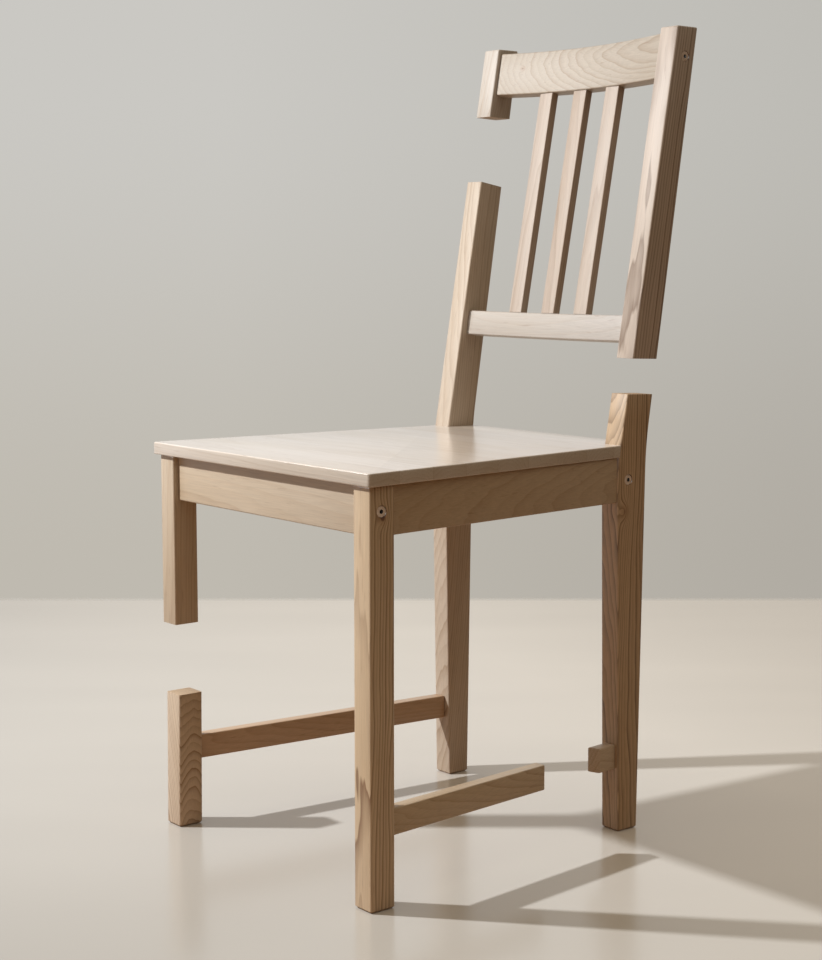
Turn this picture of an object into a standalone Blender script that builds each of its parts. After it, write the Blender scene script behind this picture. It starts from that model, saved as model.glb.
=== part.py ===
"""Broken wooden dining chair in pale pine, in metres, +Z up.

The chair faces -Y, and +X is on the right of someone who looks at its front. Left and right
in the names are that viewer's. Stretches of the front left leg, of both rear posts and of the
right stretcher are sawn away; everything that is left still hangs together.
"""

import math

import bmesh
import bpy
from mathutils import Matrix, Vector

# Driving dimensions, in metres and radians
CHAIR_HEIGHT = 0.920
SEAT_HEIGHT = 0.450
FRONT_WIDTH = 0.396
REAR_TAPER = 0.066
FRAME_DEPTH = 0.386
BACK_LEAN = math.radians(9.8)
FIT_GAP = 0.0003

# Seat board
SEAT_THICKNESS = 0.014
SEAT_FRONT_OVERHANG = 0.006
SEAT_SIDE_OVERHANG = 0.0075
SEAT_REAR_OVERHANG = 0.001
SEAT_CORNER_RADIUS = 0.005

# Front legs
LEG_WIDTH = 0.028
LEG_DEPTH = 0.031
STUMP_SHIFT = 0.0025
STUMP_LEAN = 0.018

# Rear posts: a raked leg below the knee, a leaning upright above it
POST_WIDTH = 0.027
POST_FOOT_DEPTH = 0.0305
POST_KNEE_DEPTH = 0.0455
POST_TOP_DEPTH = 0.0325
KNEE_ADVANCE = 0.008
FRONT_KNEE_DROP = 0.027
REAR_KNEE_DROP = 0.002
KNEE_BLEND = 0.030

# Aprons below the seat
APRON_HEIGHT = 0.051
APRON_THICKNESS = 0.017
FRONT_APRON_RECESS = 0.006
SIDE_APRON_RECESS = 0.003
REAR_APRON_RECESS = 0.0085

# Side stretchers
STRETCHER_HEIGHT = 0.0285
STRETCHER_THICKNESS = 0.015
STRETCHER_RECESS = 0.0045
STRETCHER_GROUND_CLEARANCE = 0.0745

# Back rails, both bowed backwards, and the slats between them
CREST_HEIGHT = 0.052
CREST_THICKNESS = 0.018
CREST_RECESS = 0.0045
CREST_BOW = 0.014
CREST_DROP = 0.005
LOWER_RAIL_HEIGHT = 0.030
LOWER_RAIL_THICKNESS = 0.018
LOWER_RAIL_RECESS = 0.0085
LOWER_RAIL_BOW = 0.005
LOWER_RAIL_RISE = 0.117
SLAT_COUNT = 3
SLAT_SPACING = 0.0565
SLAT_WIDTH = 0.022
SLAT_THICKNESS = 0.0105
SLAT_SIDE_OFFSET = -0.0025
SLAT_FORWARD_OFFSET = 0.002
TENON_WIDTH = 0.014
TENON_THICKNESS = 0.0065
TENON_LENGTH = 0.009

# Saw cuts, each measured from the piece it was made beside
LEG_STUMP_ABOVE_STRETCHER = 0.055
LEG_STUB_BELOW_APRON = 0.145
LEFT_STUB_BELOW_CREST = 0.028
LEFT_POST_MISSING_LENGTH = 0.082
RIGHT_POST_ABOVE_SEAT = 0.058
RIGHT_STUB_BELOW_RAIL = 0.020
STRETCHER_FRONT_LENGTH = 0.2315
STRETCHER_STUB_LENGTH = 0.028
SLANTED_CUT_TILT = 0.040
STUB_CUT_SKEW = 0.35

# Dowels
DOWEL_RADIUS = 0.004
DOWEL_IN_LEG = 0.010
DOWEL_IN_RAIL = 0.016
SIDE_DOWEL_SPACING = 0.024
LOCATING_DOWEL_DROP = 0.015
CREST_BOLT_SETBACK = 0.018

# Connecting bolts with their barrel nuts
BOLT_RADIUS = 0.003
BOLT_HEAD_RADIUS = 0.006
BOLT_HEAD_THICKNESS = 0.003
BOLT_HEAD_SINK = 0.0005
BOLT_SOCKET_RADIUS = 0.0023
BOLT_SOCKET_DEPTH = 0.002
BOLT_PAST_NUT = 0.007
NUT_RADIUS = 0.005
NUT_LENGTH = 0.013
NUT_REACH = 0.030

# Screws that hold the seat down from inside the aprons
SCREW_RADIUS = 0.002
SCREW_HEAD_RADIUS = 0.004
SCREW_HEAD_THICKNESS = 0.0025
SCREW_LENGTH = 0.030
SCREW_IN_SEAT = 0.009
SCREW_TAPER = 0.004
FRONT_SCREW_SPREAD = 0.180
REAR_SCREW_SPREAD = 0.140

# Edges and roundness
LEG_EDGE = 0.002
RAIL_EDGE = 0.0015
SLAT_EDGE = 0.001
ROUND_SIDES = 12
SOCKET_SIDES = 6
BOW_STEPS = 12
CORNER_STEPS = 4
BLEND_STEPS = 5
SHARP_ANGLE = math.radians(30)
WELD_DISTANCE = 0.00001

# Colours and roughness
PINE = (0.72, 0.50, 0.29)
PINE_ROUGHNESS = 0.42
DOWEL_WOOD = (0.66, 0.47, 0.28)
DOWEL_ROUGHNESS = 0.65
ZINC = (0.62, 0.62, 0.60)
ZINC_ROUGHNESS = 0.35

LEFT = -1
RIGHT = 1
SIDE_NAMES = {LEFT: "left", RIGHT: "right"}
ACROSS = Vector((1, 0, 0))
BACKWARDS = Vector((0, 1, 0))
UP = Vector((0, 0, 1))

# Widths, heights and depths that follow from the driving dimensions
REAR_WIDTH = FRONT_WIDTH - REAR_TAPER
SEAT_UNDERSIDE = SEAT_HEIGHT - SEAT_THICKNESS
APRON_TOP = SEAT_UNDERSIDE - FIT_GAP
APRON_BOTTOM = APRON_TOP - APRON_HEIGHT
APRON_MIDDLE = APRON_TOP - APRON_HEIGHT / 2
STRETCHER_TOP = STRETCHER_GROUND_CLEARANCE + STRETCHER_HEIGHT
STRETCHER_MIDDLE = STRETCHER_GROUND_CLEARANCE + STRETCHER_HEIGHT / 2
KNEE_FRONT = FRAME_DEPTH - KNEE_ADVANCE
KNEE_HEIGHT = SEAT_HEIGHT - FRONT_KNEE_DROP
KNEE_REAR = KNEE_FRONT + POST_KNEE_DEPTH
REAR_KNEE_HEIGHT = SEAT_HEIGHT - REAR_KNEE_DROP
POST_TOP_FRONT = KNEE_FRONT + (CHAIR_HEIGHT - KNEE_HEIGHT) * math.tan(BACK_LEAN)
POST_TOP_REAR = POST_TOP_FRONT + POST_TOP_DEPTH
REAR_APRON_FRONT = KNEE_FRONT + REAR_APRON_RECESS
BACK_HALF_SPAN = REAR_WIDTH / 2 - POST_WIDTH - FIT_GAP

# Distances up the leaning front face of the posts, from the knee
LEAN_COSINE = math.cos(BACK_LEAN)
POST_TOP_UP = (CHAIR_HEIGHT - KNEE_HEIGHT) / LEAN_COSINE
CREST_BOTTOM_UP = POST_TOP_UP - CREST_DROP - CREST_HEIGHT
LOWER_RAIL_BOTTOM_UP = (SEAT_HEIGHT + LOWER_RAIL_RISE - KNEE_HEIGHT) / LEAN_COSINE
LOWER_RAIL_TOP_UP = LOWER_RAIL_BOTTOM_UP + LOWER_RAIL_HEIGHT


def clear_scene():
    for item in list(bpy.context.scene.objects):
        bpy.data.objects.remove(item, do_unlink=True)


def make_collection(name):
    home = bpy.data.collections.new(name)
    bpy.context.scene.collection.children.link(home)
    return home


clear_scene()
PIECES = make_collection("broken_wooden_chair")
CUTTERS = make_collection("cutters")
CHAIR = bpy.data.objects.new("chair_frame", None)
PIECES.objects.link(CHAIR)


def paint(piece, colour, roughness, metallic):
    """Give a piece its own Principled material."""
    skin = bpy.data.materials.new(piece.name)
    skin.use_nodes = True
    shader = skin.node_tree.nodes["Principled BSDF"]
    shader.inputs["Base Color"].default_value = (*colour, 1)
    shader.inputs["Roughness"].default_value = roughness
    shader.inputs["Metallic"].default_value = metallic
    piece.data.materials.append(skin)
    return piece


def paint_pine(piece):
    return paint(piece, PINE, PINE_ROUGHNESS, 0)


def paint_dowel(piece):
    return paint(piece, DOWEL_WOOD, DOWEL_ROUGHNESS, 0)


def paint_zinc(piece):
    return paint(piece, ZINC, ZINC_ROUGHNESS, 1)


def add_object(name, mesh, home):
    """Put a mesh in its collection, on the chair's own frame."""
    thing = bpy.data.objects.new(name, mesh)
    home.objects.link(thing)
    thing.parent = CHAIR
    if home == CUTTERS:
        thing.hide_render = True
        thing.display_type = "WIRE"
    return thing


def turn_towards(thing, direction):
    """Point a thing's own Z axis along a direction."""
    thing.rotation_euler = Vector(direction).to_track_quat("Z", "Y").to_euler()


def block(name, low, high, home=PIECES):
    """Box between two opposite corners."""
    low, high = Vector(low), Vector(high)
    shape = bmesh.new()
    bmesh.ops.create_cube(shape, size=1)
    bmesh.ops.scale(shape, vec=high - low, verts=shape.verts)
    mesh = bpy.data.meshes.new(name)
    shape.to_mesh(mesh)
    shape.free()
    thing = add_object(name, mesh, home)
    thing.location = (low + high) / 2
    return thing


def rod(name, radius, start, end, home=PIECES, sides=ROUND_SIDES):
    """Cylinder from one point to another."""
    start, end = Vector(start), Vector(end)
    shape = bmesh.new()
    bmesh.ops.create_cone(
        shape, cap_ends=True, segments=sides, radius1=radius, radius2=radius,
        depth=(end - start).length)
    mesh = bpy.data.meshes.new(name)
    shape.to_mesh(mesh)
    shape.free()
    mesh.shade_smooth()
    mesh.set_sharp_from_angle(angle=SHARP_ANGLE)
    thing = add_object(name, mesh, home)
    thing.location = (start + end) / 2
    turn_towards(thing, end - start)
    return thing


def turned(name, profile, sides=ROUND_SIDES):
    """Solid of revolution about Z, from a profile that runs down its outer side."""
    mesh = bpy.data.meshes.new(name)
    points = [(radius, 0, height) for radius, height in profile]
    edges = [(step, step + 1) for step in range(len(points) - 1)]
    mesh.from_pydata(points, edges, [])
    thing = add_object(name, mesh, PIECES)
    lathe = thing.modifiers.new("lathe", "SCREW")
    lathe.angle = math.tau
    lathe.steps = sides
    lathe.render_steps = sides
    lathe.use_merge_vertices = True
    lathe.merge_threshold = WELD_DISTANCE
    return thing


def board(name, outline, thickness, home=PIECES):
    """Flat outline in the XY plane, thickened evenly to both sides along Z."""
    curve = bpy.data.curves.new(name, "CURVE")
    curve.dimensions = "2D"
    curve.fill_mode = "BOTH"
    curve.extrude = thickness / 2
    spline = curve.splines.new("POLY")
    spline.points.add(len(outline) - 1)
    for point, (x, y) in zip(spline.points, outline):
        point.co = (x, y, 0, 1)
    spline.use_cyclic_u = True
    drawn = bpy.data.objects.new(name + "_outline", curve)
    home.objects.link(drawn)
    evaluated = drawn.evaluated_get(bpy.context.evaluated_depsgraph_get())
    mesh = bpy.data.meshes.new_from_object(evaluated)
    bpy.data.objects.remove(drawn, do_unlink=True)
    bpy.data.curves.remove(curve)
    mesh.name = name
    shape = bmesh.new()
    shape.from_mesh(mesh)
    bmesh.ops.remove_doubles(shape, verts=shape.verts, dist=WELD_DISTANCE)
    bmesh.ops.recalc_face_normals(shape, faces=shape.faces)
    shape.to_mesh(mesh)
    shape.free()
    return add_object(name, mesh, home)


def ease(piece, width):
    """Take the sharp edges off a piece."""
    edge = piece.modifiers.new("eased_edges", "BEVEL")
    edge.width = width
    edge.segments = 1
    edge.limit_method = "ANGLE"
    edge.angle_limit = SHARP_ANGLE


def combine(piece, helper, operation):
    step = piece.modifiers.new(helper.name, "BOOLEAN")
    step.operation = operation
    step.solver = "EXACT"
    step.object = helper


def subtract(piece, cutter):
    combine(piece, cutter, "DIFFERENCE")


def unite(piece, helper):
    combine(piece, helper, "UNION")


def saw_off(piece, point, lost_side):
    """Remove all of a piece that lies on the lost side of a plane through a point."""
    reach = CHAIR_HEIGHT
    corner = Vector((reach, reach, reach)) / 2
    saw = block(piece.name + "_saw_" + str(len(piece.modifiers)), -corner, corner, CUTTERS)
    saw.location = Vector(point) + Vector(lost_side).normalized() * reach / 2
    turn_towards(saw, lost_side)
    subtract(piece, saw)


def between(low, high, share):
    return low + (high - low) * share


def blended_corner(before, corner, after):
    """Points of a parabola that rounds a corner off over the knee blend length."""
    start = corner + (before - corner).normalized() * KNEE_BLEND
    end = corner + (after - corner).normalized() * KNEE_BLEND
    points = []
    for step in range(BLEND_STEPS + 1):
        share = step / BLEND_STEPS
        points.append(start.lerp(corner, share).lerp(corner.lerp(end, share), share))
    return points


def post_outline(margin):
    """Side view of a whole rear post, as depth and height, grown by a margin."""
    front = [
        Vector((FRAME_DEPTH, 0)), Vector((KNEE_FRONT, KNEE_HEIGHT)),
        Vector((POST_TOP_FRONT, CHAIR_HEIGHT))]
    rear = [
        Vector((POST_TOP_REAR, CHAIR_HEIGHT)), Vector((KNEE_REAR, REAR_KNEE_HEIGHT)),
        Vector((FRAME_DEPTH + POST_FOOT_DEPTH, 0))]
    forward = Vector((-margin, 0))
    front_line = [front[0]] + blended_corner(*front) + [front[2]]
    rear_line = [rear[0]] + blended_corner(*rear) + [rear[2]]
    return [point + forward for point in front_line] + [point - forward for point in rear_line]


def post_board(name, side, margin=0.0, home=PIECES):
    """Whole rear post, or its cutter when it is grown by a margin."""
    post = board(name, post_outline(margin), POST_WIDTH + 2 * margin, home)
    post.rotation_euler = Matrix(((0, 0, 1), (1, 0, 0), (0, 1, 0))).to_euler()
    post.location.x = side * (REAR_WIDTH - POST_WIDTH) / 2
    return post


def on_back(across, setback, up):
    """Point given along the leaning front face of the posts, from the knee."""
    lean_back = Vector((0, LEAN_COSINE, -math.sin(BACK_LEAN)))
    lean_up = Vector((0, math.sin(BACK_LEAN), LEAN_COSINE))
    knee = Vector((0, KNEE_FRONT, KNEE_HEIGHT))
    return knee + ACROSS * across + lean_back * setback + lean_up * up


def level_cut(tilt=0.0):
    """Upward normal of a saw cut that drops towards the back by a tilt."""
    return Vector((0, math.sin(tilt), math.cos(tilt)))


def front_leg(name, side, shift=0.0, lean=0.0):
    """Whole front leg; a leaning one stands flat on its foot and drifts inwards."""
    outer = side * (FRONT_WIDTH / 2 - shift)
    inner = outer - side * LEG_WIDTH
    leg = block(name, (min(inner, outer), 0, 0), (max(inner, outer), LEG_DEPTH, APRON_TOP))
    for vertex in leg.data.vertices:
        vertex.co.x -= side * lean * (vertex.co.z + leg.location.z)
    ease(leg, LEG_EDGE)
    return paint_pine(leg)


def front_legs():
    whole = front_leg("front_right_leg", RIGHT)
    stump = front_leg("front_left_leg_stump", LEFT, STUMP_SHIFT, STUMP_LEAN)
    saw_off(stump, UP * (STRETCHER_TOP + LEG_STUMP_ABOVE_STRETCHER), UP)
    stub = front_leg("front_left_leg_stub", LEFT)
    saw_off(stub, UP * (APRON_BOTTOM - LEG_STUB_BELOW_APRON), -UP)
    return {"right": whole, "stump": stump, "stub": stub}


def rear_post(name, side):
    post = post_board(name, side)
    ease(post, LEG_EDGE)
    return paint_pine(post)


def rear_posts():
    stub_end_up = CREST_BOTTOM_UP - LEFT_STUB_BELOW_CREST
    left_stub = rear_post("rear_left_post_stub", LEFT)
    saw_off(left_stub, on_back(0, 0, stub_end_up), -level_cut(SLANTED_CUT_TILT))
    left = rear_post("rear_left_post", LEFT)
    left_cut = on_back(0, 0, stub_end_up - LEFT_POST_MISSING_LENGTH)
    saw_off(left, left_cut, level_cut(BACK_LEAN))
    right = rear_post("rear_right_post_lower", RIGHT)
    right_cut = UP * (SEAT_HEIGHT + RIGHT_POST_ABOVE_SEAT) + BACKWARDS * KNEE_FRONT
    saw_off(right, right_cut, level_cut(SLANTED_CUT_TILT))
    right_upper = rear_post("rear_right_post_upper", RIGHT)
    upper_cut = on_back(0, 0, LOWER_RAIL_BOTTOM_UP - RIGHT_STUB_BELOW_RAIL)
    saw_off(right_upper, upper_cut, -level_cut(SLANTED_CUT_TILT))
    return {"left": left, "left_stub": left_stub, "right": right, "right_upper": right_upper}


def post_clearances():
    """A post and its fitting gap on each side, for what is cut around the posts."""
    return {
        side: post_board(SIDE_NAMES[side] + "_post_clearance", side, FIT_GAP, CUTTERS)
        for side in (LEFT, RIGHT)}


def cross_apron(name, front, half_length):
    low = (-half_length, front, APRON_BOTTOM)
    high = (half_length, front + APRON_THICKNESS, APRON_TOP)
    apron = block(name, low, high)
    ease(apron, RAIL_EDGE)
    return paint_pine(apron)


def side_line(side, recess, depth):
    """Outer face of a side rail: a straight line from front leg to rear post."""
    share = (depth - LEG_DEPTH) / (FRAME_DEPTH - LEG_DEPTH)
    return side * (between(FRONT_WIDTH, REAR_WIDTH, share) / 2 - recess)


def side_rail(name, side, recess, thickness, bottom, height, clearance):
    """Rail from the front leg to the rear post, coped to the post's sloping front face."""
    start = LEG_DEPTH + FIT_GAP
    end = FRAME_DEPTH + POST_FOOT_DEPTH / 2
    outline = [
        (side_line(side, recess, start), start), (side_line(side, recess, end), end),
        (side_line(side, recess + thickness, end), end),
        (side_line(side, recess + thickness, start), start)]
    rail = board(name, outline, height)
    rail.location.z = bottom + height / 2
    ease(rail, RAIL_EDGE)
    subtract(rail, clearance)
    return paint_pine(rail)


def aprons(clearances):
    front_half = FRONT_WIDTH / 2 - LEG_WIDTH - FIT_GAP
    made = {
        "front": cross_apron("front_apron", FRONT_APRON_RECESS, front_half),
        "rear": cross_apron("rear_apron", REAR_APRON_FRONT, BACK_HALF_SPAN)}
    for side in (LEFT, RIGHT):
        name = SIDE_NAMES[side] + "_apron"
        made[SIDE_NAMES[side]] = side_rail(
            name, side, SIDE_APRON_RECESS, APRON_THICKNESS, APRON_BOTTOM, APRON_HEIGHT,
            clearances[side])
    return made


def stretcher(name, side, clearances):
    return side_rail(
        name, side, STRETCHER_RECESS, STRETCHER_THICKNESS, STRETCHER_GROUND_CLEARANCE,
        STRETCHER_HEIGHT, clearances[side])


def stretchers(clearances):
    left = stretcher("left_stretcher", LEFT, clearances)
    front = stretcher("right_stretcher_front", RIGHT, clearances)
    saw_off(front, BACKWARDS * (LEG_DEPTH + STRETCHER_FRONT_LENGTH), BACKWARDS)
    stub = stretcher("right_stretcher_stub", RIGHT, clearances)
    post_face = FRAME_DEPTH - KNEE_ADVANCE * STRETCHER_MIDDLE / KNEE_HEIGHT
    cut_point = ACROSS * side_line(RIGHT, STRETCHER_RECESS, post_face)
    cut_point += BACKWARDS * (post_face - STRETCHER_STUB_LENGTH)
    saw_off(stub, cut_point, (math.sin(STUB_CUT_SKEW), -math.cos(STUB_CUT_SKEW), 0))
    return {"left": left, "front": front, "stub": stub}


def arc_corner(centre, start_angle, end_angle):
    """Points of a round seat corner."""
    points = []
    for step in range(CORNER_STEPS + 1):
        angle = between(start_angle, end_angle, step / CORNER_STEPS)
        offset = Vector((math.cos(angle), math.sin(angle))) * SEAT_CORNER_RADIUS
        points.append(Vector(centre) + offset)
    return points


def open_corner(side, rear):
    """Cutter that carries the notch around a post out through the seat's rear edge."""
    walls = sorted((side * BACK_HALF_SPAN, side * FRONT_WIDTH / 2))
    low = (walls[0], KNEE_FRONT + POST_KNEE_DEPTH / 2, SEAT_UNDERSIDE - SEAT_THICKNESS)
    high = (walls[1], rear + POST_KNEE_DEPTH, SEAT_HEIGHT + SEAT_THICKNESS)
    return block(SIDE_NAMES[side] + "_seat_notch", low, high, CUTTERS)


def seat_board(clearances):
    """Seat panel, narrower at the back and notched around both rear posts."""
    front_half = FRONT_WIDTH / 2 + SEAT_SIDE_OVERHANG
    front = -SEAT_FRONT_OVERHANG
    rear = KNEE_REAR + SEAT_REAR_OVERHANG
    rear_half = REAR_WIDTH / 2
    taper = math.atan2(front_half - rear_half, KNEE_FRONT - front)
    centre_y = front + SEAT_CORNER_RADIUS
    centre_x = front_half - SEAT_CORNER_RADIUS * (1 + math.tan(taper))
    right = arc_corner((centre_x, centre_y), -math.pi / 2, taper)
    right += [Vector((rear_half, KNEE_FRONT)), Vector((rear_half, rear))]
    left = [Vector((-point.x, point.y)) for point in reversed(right)]
    seat = board("seat", right + left, SEAT_THICKNESS)
    seat.location.z = SEAT_HEIGHT - SEAT_THICKNESS / 2
    ease(seat, RAIL_EDGE)
    for side, clearance in clearances.items():
        subtract(seat, clearance)
        subtract(seat, open_corner(side, rear))
    return paint_pine(seat)


def bow_setback(across, recess, bow):
    """How far behind the posts' front faces a bowed rail's front face lies."""
    return recess + bow * (1 - (across / BACK_HALF_SPAN) ** 2)


def bowed_rail(name, bottom_up, height, thickness, recess, bow):
    """Back rail between the posts, with both faces bowed backwards."""
    front = []
    for step in range(BOW_STEPS + 1):
        across = between(-BACK_HALF_SPAN, BACK_HALF_SPAN, step / BOW_STEPS)
        front.append(Vector((across, bow_setback(across, recess, bow))))
    rear = [point + Vector((0, thickness)) for point in reversed(front)]
    rail = board(name, front + rear, height)
    rail.location = on_back(0, 0, bottom_up + height / 2)
    rail.rotation_euler.x = -BACK_LEAN
    ease(rail, RAIL_EDGE)
    return paint_pine(rail)


def back_rails():
    crest = bowed_rail(
        "crest_rail", CREST_BOTTOM_UP, CREST_HEIGHT, CREST_THICKNESS, CREST_RECESS, CREST_BOW)
    lower = bowed_rail(
        "lower_back_rail", LOWER_RAIL_BOTTOM_UP, LOWER_RAIL_HEIGHT, LOWER_RAIL_THICKNESS,
        LOWER_RAIL_RECESS, LOWER_RAIL_BOW)
    return {"crest": crest, "lower": lower}


def slat_core(name, half_length, slack):
    """Box that runs through a slat and sticks out as its tenons, or cuts their mortises."""
    corner = Vector((TENON_WIDTH / 2 + slack, half_length + slack, TENON_THICKNESS / 2 + slack))
    return block(name, -corner, corner, CUTTERS)


def back_slats(rails):
    """Slats tenoned into the underside of the crest rail and the top of the lower rail."""
    space = CREST_BOTTOM_UP - LOWER_RAIL_TOP_UP
    for number in range(SLAT_COUNT):
        across = (number - (SLAT_COUNT - 1) / 2) * SLAT_SPACING + SLAT_SIDE_OFFSET
        top = bow_setback(across, CREST_RECESS, CREST_BOW) + CREST_THICKNESS / 2
        bottom = bow_setback(across, LOWER_RAIL_RECESS, LOWER_RAIL_BOW)
        bottom += LOWER_RAIL_THICKNESS / 2
        setback = (top + bottom) / 2 - SLAT_FORWARD_OFFSET
        name = "slat_" + str(number + 1)
        corner = Vector((SLAT_WIDTH / 2, space / 2 - FIT_GAP, SLAT_THICKNESS / 2))
        slat = block(name, -corner, corner)
        core = slat_core(name + "_tenons", space / 2 + TENON_LENGTH, 0)
        mortise = slat_core(name + "_mortises", space / 2 + TENON_LENGTH, FIT_GAP)
        for item in (slat, core, mortise):
            item.location = on_back(across, setback, LOWER_RAIL_TOP_UP + space / 2)
            item.rotation_euler.x = math.pi / 2 - BACK_LEAN - math.atan2(top - bottom, space)
        ease(slat, SLAT_EDGE)
        unite(slat, core)
        paint_pine(slat)
        for rail in rails.values():
            subtract(rail, mortise)


def dowel(name, face_point, into_rail, leg, rail):
    """Dowel across a joint face, with its hole in the leg and in the rail."""
    into_rail = Vector(into_rail)
    start = face_point - into_rail * DOWEL_IN_LEG
    end = face_point + into_rail * DOWEL_IN_RAIL
    paint_dowel(rod(name, DOWEL_RADIUS, start, end))
    slack = into_rail * FIT_GAP
    hole = rod(name + "_hole", DOWEL_RADIUS + FIT_GAP, start - slack, end + slack, CUTTERS)
    subtract(leg, hole)
    subtract(rail, hole)


def side_rail_dowel(name, side, recess, thickness, height, at_front, leg, rail):
    """Dowel at one end of a side rail, on the middle of its thickness."""
    front_face = LEG_DEPTH + FIT_GAP / 2
    post_face = FRAME_DEPTH - KNEE_ADVANCE * height / KNEE_HEIGHT
    depth = front_face if at_front else post_face
    across = side_line(side, recess + thickness / 2, depth)
    into_rail = BACKWARDS if at_front else -BACKWARDS
    dowel(name, Vector((across, depth, height)), into_rail, leg, rail)


def apron_dowels(legs, posts, apron_set):
    """Two dowels at each end of each side apron."""
    hosts = {
        (LEFT, "front"): legs["stub"], (RIGHT, "front"): legs["right"],
        (LEFT, "rear"): posts["left"], (RIGHT, "rear"): posts["right"]}
    for (side, end), leg in hosts.items():
        for level, shift in (("lower", -1), ("upper", 1)):
            name = "_".join((SIDE_NAMES[side], "apron", end, level, "dowel"))
            height = APRON_MIDDLE + shift * SIDE_DOWEL_SPACING / 2
            side_rail_dowel(
                name, side, SIDE_APRON_RECESS, APRON_THICKNESS, height, end == "front", leg,
                apron_set[SIDE_NAMES[side]])


def stretcher_dowels(legs, posts, stretcher_set):
    """One dowel at each end of a stretcher that still meets a leg."""
    joints = (
        ("left_stretcher_front_dowel", LEFT, True, legs["stump"], "left"),
        ("left_stretcher_rear_dowel", LEFT, False, posts["left"], "left"),
        ("right_stretcher_front_dowel", RIGHT, True, legs["right"], "front"),
        ("right_stretcher_rear_dowel", RIGHT, False, posts["right"], "stub"))
    for name, side, at_front, leg, rail in joints:
        side_rail_dowel(
            name, side, STRETCHER_RECESS, STRETCHER_THICKNESS, STRETCHER_MIDDLE, at_front, leg,
            stretcher_set[rail])


def lower_rail_dowels(posts, rails):
    """One dowel at each end of the lower back rail."""
    setback = LOWER_RAIL_RECESS + LOWER_RAIL_THICKNESS / 2
    up = LOWER_RAIL_BOTTOM_UP + LOWER_RAIL_HEIGHT / 2
    for side, post in ((LEFT, posts["left"]), (RIGHT, posts["right_upper"])):
        face_point = on_back(side * (BACK_HALF_SPAN + FIT_GAP / 2), setback, up)
        name = "lower_rail_" + SIDE_NAMES[side] + "_dowel"
        dowel(name, face_point, -side * ACROSS, post, rails["lower"])


def connecting_bolt(name, head_point, inward, length):
    """Cap-head bolt with a hexagon socket, its head at the start point."""
    profile = [
        (0, 0), (BOLT_HEAD_RADIUS, 0), (BOLT_HEAD_RADIUS, -BOLT_HEAD_THICKNESS),
        (BOLT_RADIUS, -BOLT_HEAD_THICKNESS), (BOLT_RADIUS, -BOLT_HEAD_THICKNESS - length),
        (0, -BOLT_HEAD_THICKNESS - length)]
    bolt = turned(name, profile)
    bolt.location = head_point
    turn_towards(bolt, -inward)
    socket = rod(
        name + "_socket", BOLT_SOCKET_RADIUS, head_point - inward * BOLT_SOCKET_DEPTH,
        head_point + inward * BOLT_SOCKET_DEPTH, CUTTERS, SOCKET_SIDES)
    subtract(bolt, socket)
    return paint_zinc(bolt)


def bolted_joint(name, outer_point, inward, leg_width, leg, rail, nut_axis, nut_shift, nut_exit):
    """Bolt through a leg into a barrel nut that lies across the rail, with all their holes."""
    head_point = outer_point + inward * BOLT_HEAD_SINK
    seat_point = head_point + inward * BOLT_HEAD_THICKNESS
    nut_point = outer_point + inward * (leg_width + NUT_REACH)
    end_point = nut_point + inward * BOLT_PAST_NUT
    connecting_bolt(name + "_bolt", head_point, inward, (end_point - seat_point).length)
    head_hole = rod(
        name + "_head_hole", BOLT_HEAD_RADIUS + FIT_GAP, outer_point - inward * BOLT_HEAD_RADIUS,
        seat_point + inward * FIT_GAP, CUTTERS)
    shank_hole = rod(
        name + "_shank_hole", BOLT_RADIUS + FIT_GAP, outer_point, end_point + inward * FIT_GAP,
        CUTTERS)
    nut_middle = nut_point + nut_axis * nut_shift
    half_nut = nut_axis * NUT_LENGTH / 2
    nut = rod(name + "_barrel_nut", NUT_RADIUS, nut_middle - half_nut, nut_middle + half_nut)
    nut_hole = rod(
        name + "_nut_hole", NUT_RADIUS + FIT_GAP, nut_middle - half_nut - nut_axis * FIT_GAP,
        nut_middle + nut_axis * nut_exit, CUTTERS)
    subtract(leg, head_hole)
    subtract(leg, shank_hole)
    subtract(rail, shank_hole)
    subtract(rail, nut_hole)
    subtract(nut, shank_hole)
    paint_zinc(nut)


def apron_bolts(legs, posts, apron_set):
    """A bolt and a locating dowel at each end of the front and the rear apron."""
    front_middle = FRONT_APRON_RECESS + APRON_THICKNESS / 2
    rear_middle = REAR_APRON_FRONT + APRON_THICKNESS / 2
    corners = (
        ("front", LEFT, FRONT_WIDTH, LEG_WIDTH, front_middle, BACKWARDS, legs["stub"]),
        ("front", RIGHT, FRONT_WIDTH, LEG_WIDTH, front_middle, BACKWARDS, legs["right"]),
        ("rear", LEFT, REAR_WIDTH, POST_WIDTH, rear_middle, -BACKWARDS, posts["left"]),
        ("rear", RIGHT, REAR_WIDTH, POST_WIDTH, rear_middle, -BACKWARDS, posts["right"]))
    for end, side, width, leg_width, depth, nut_axis, leg in corners:
        name = "_".join((end, "apron", SIDE_NAMES[side]))
        inward = -side * ACROSS
        outer_point = Vector((side * width / 2, depth, APRON_MIDDLE))
        bolted_joint(
            name, outer_point, inward, leg_width, leg, apron_set[end], nut_axis, 0,
            APRON_THICKNESS)
        face_point = outer_point + inward * (leg_width + FIT_GAP / 2)
        dowel(
            name + "_dowel", face_point - UP * LOCATING_DOWEL_DROP, inward, leg, apron_set[end])


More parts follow.
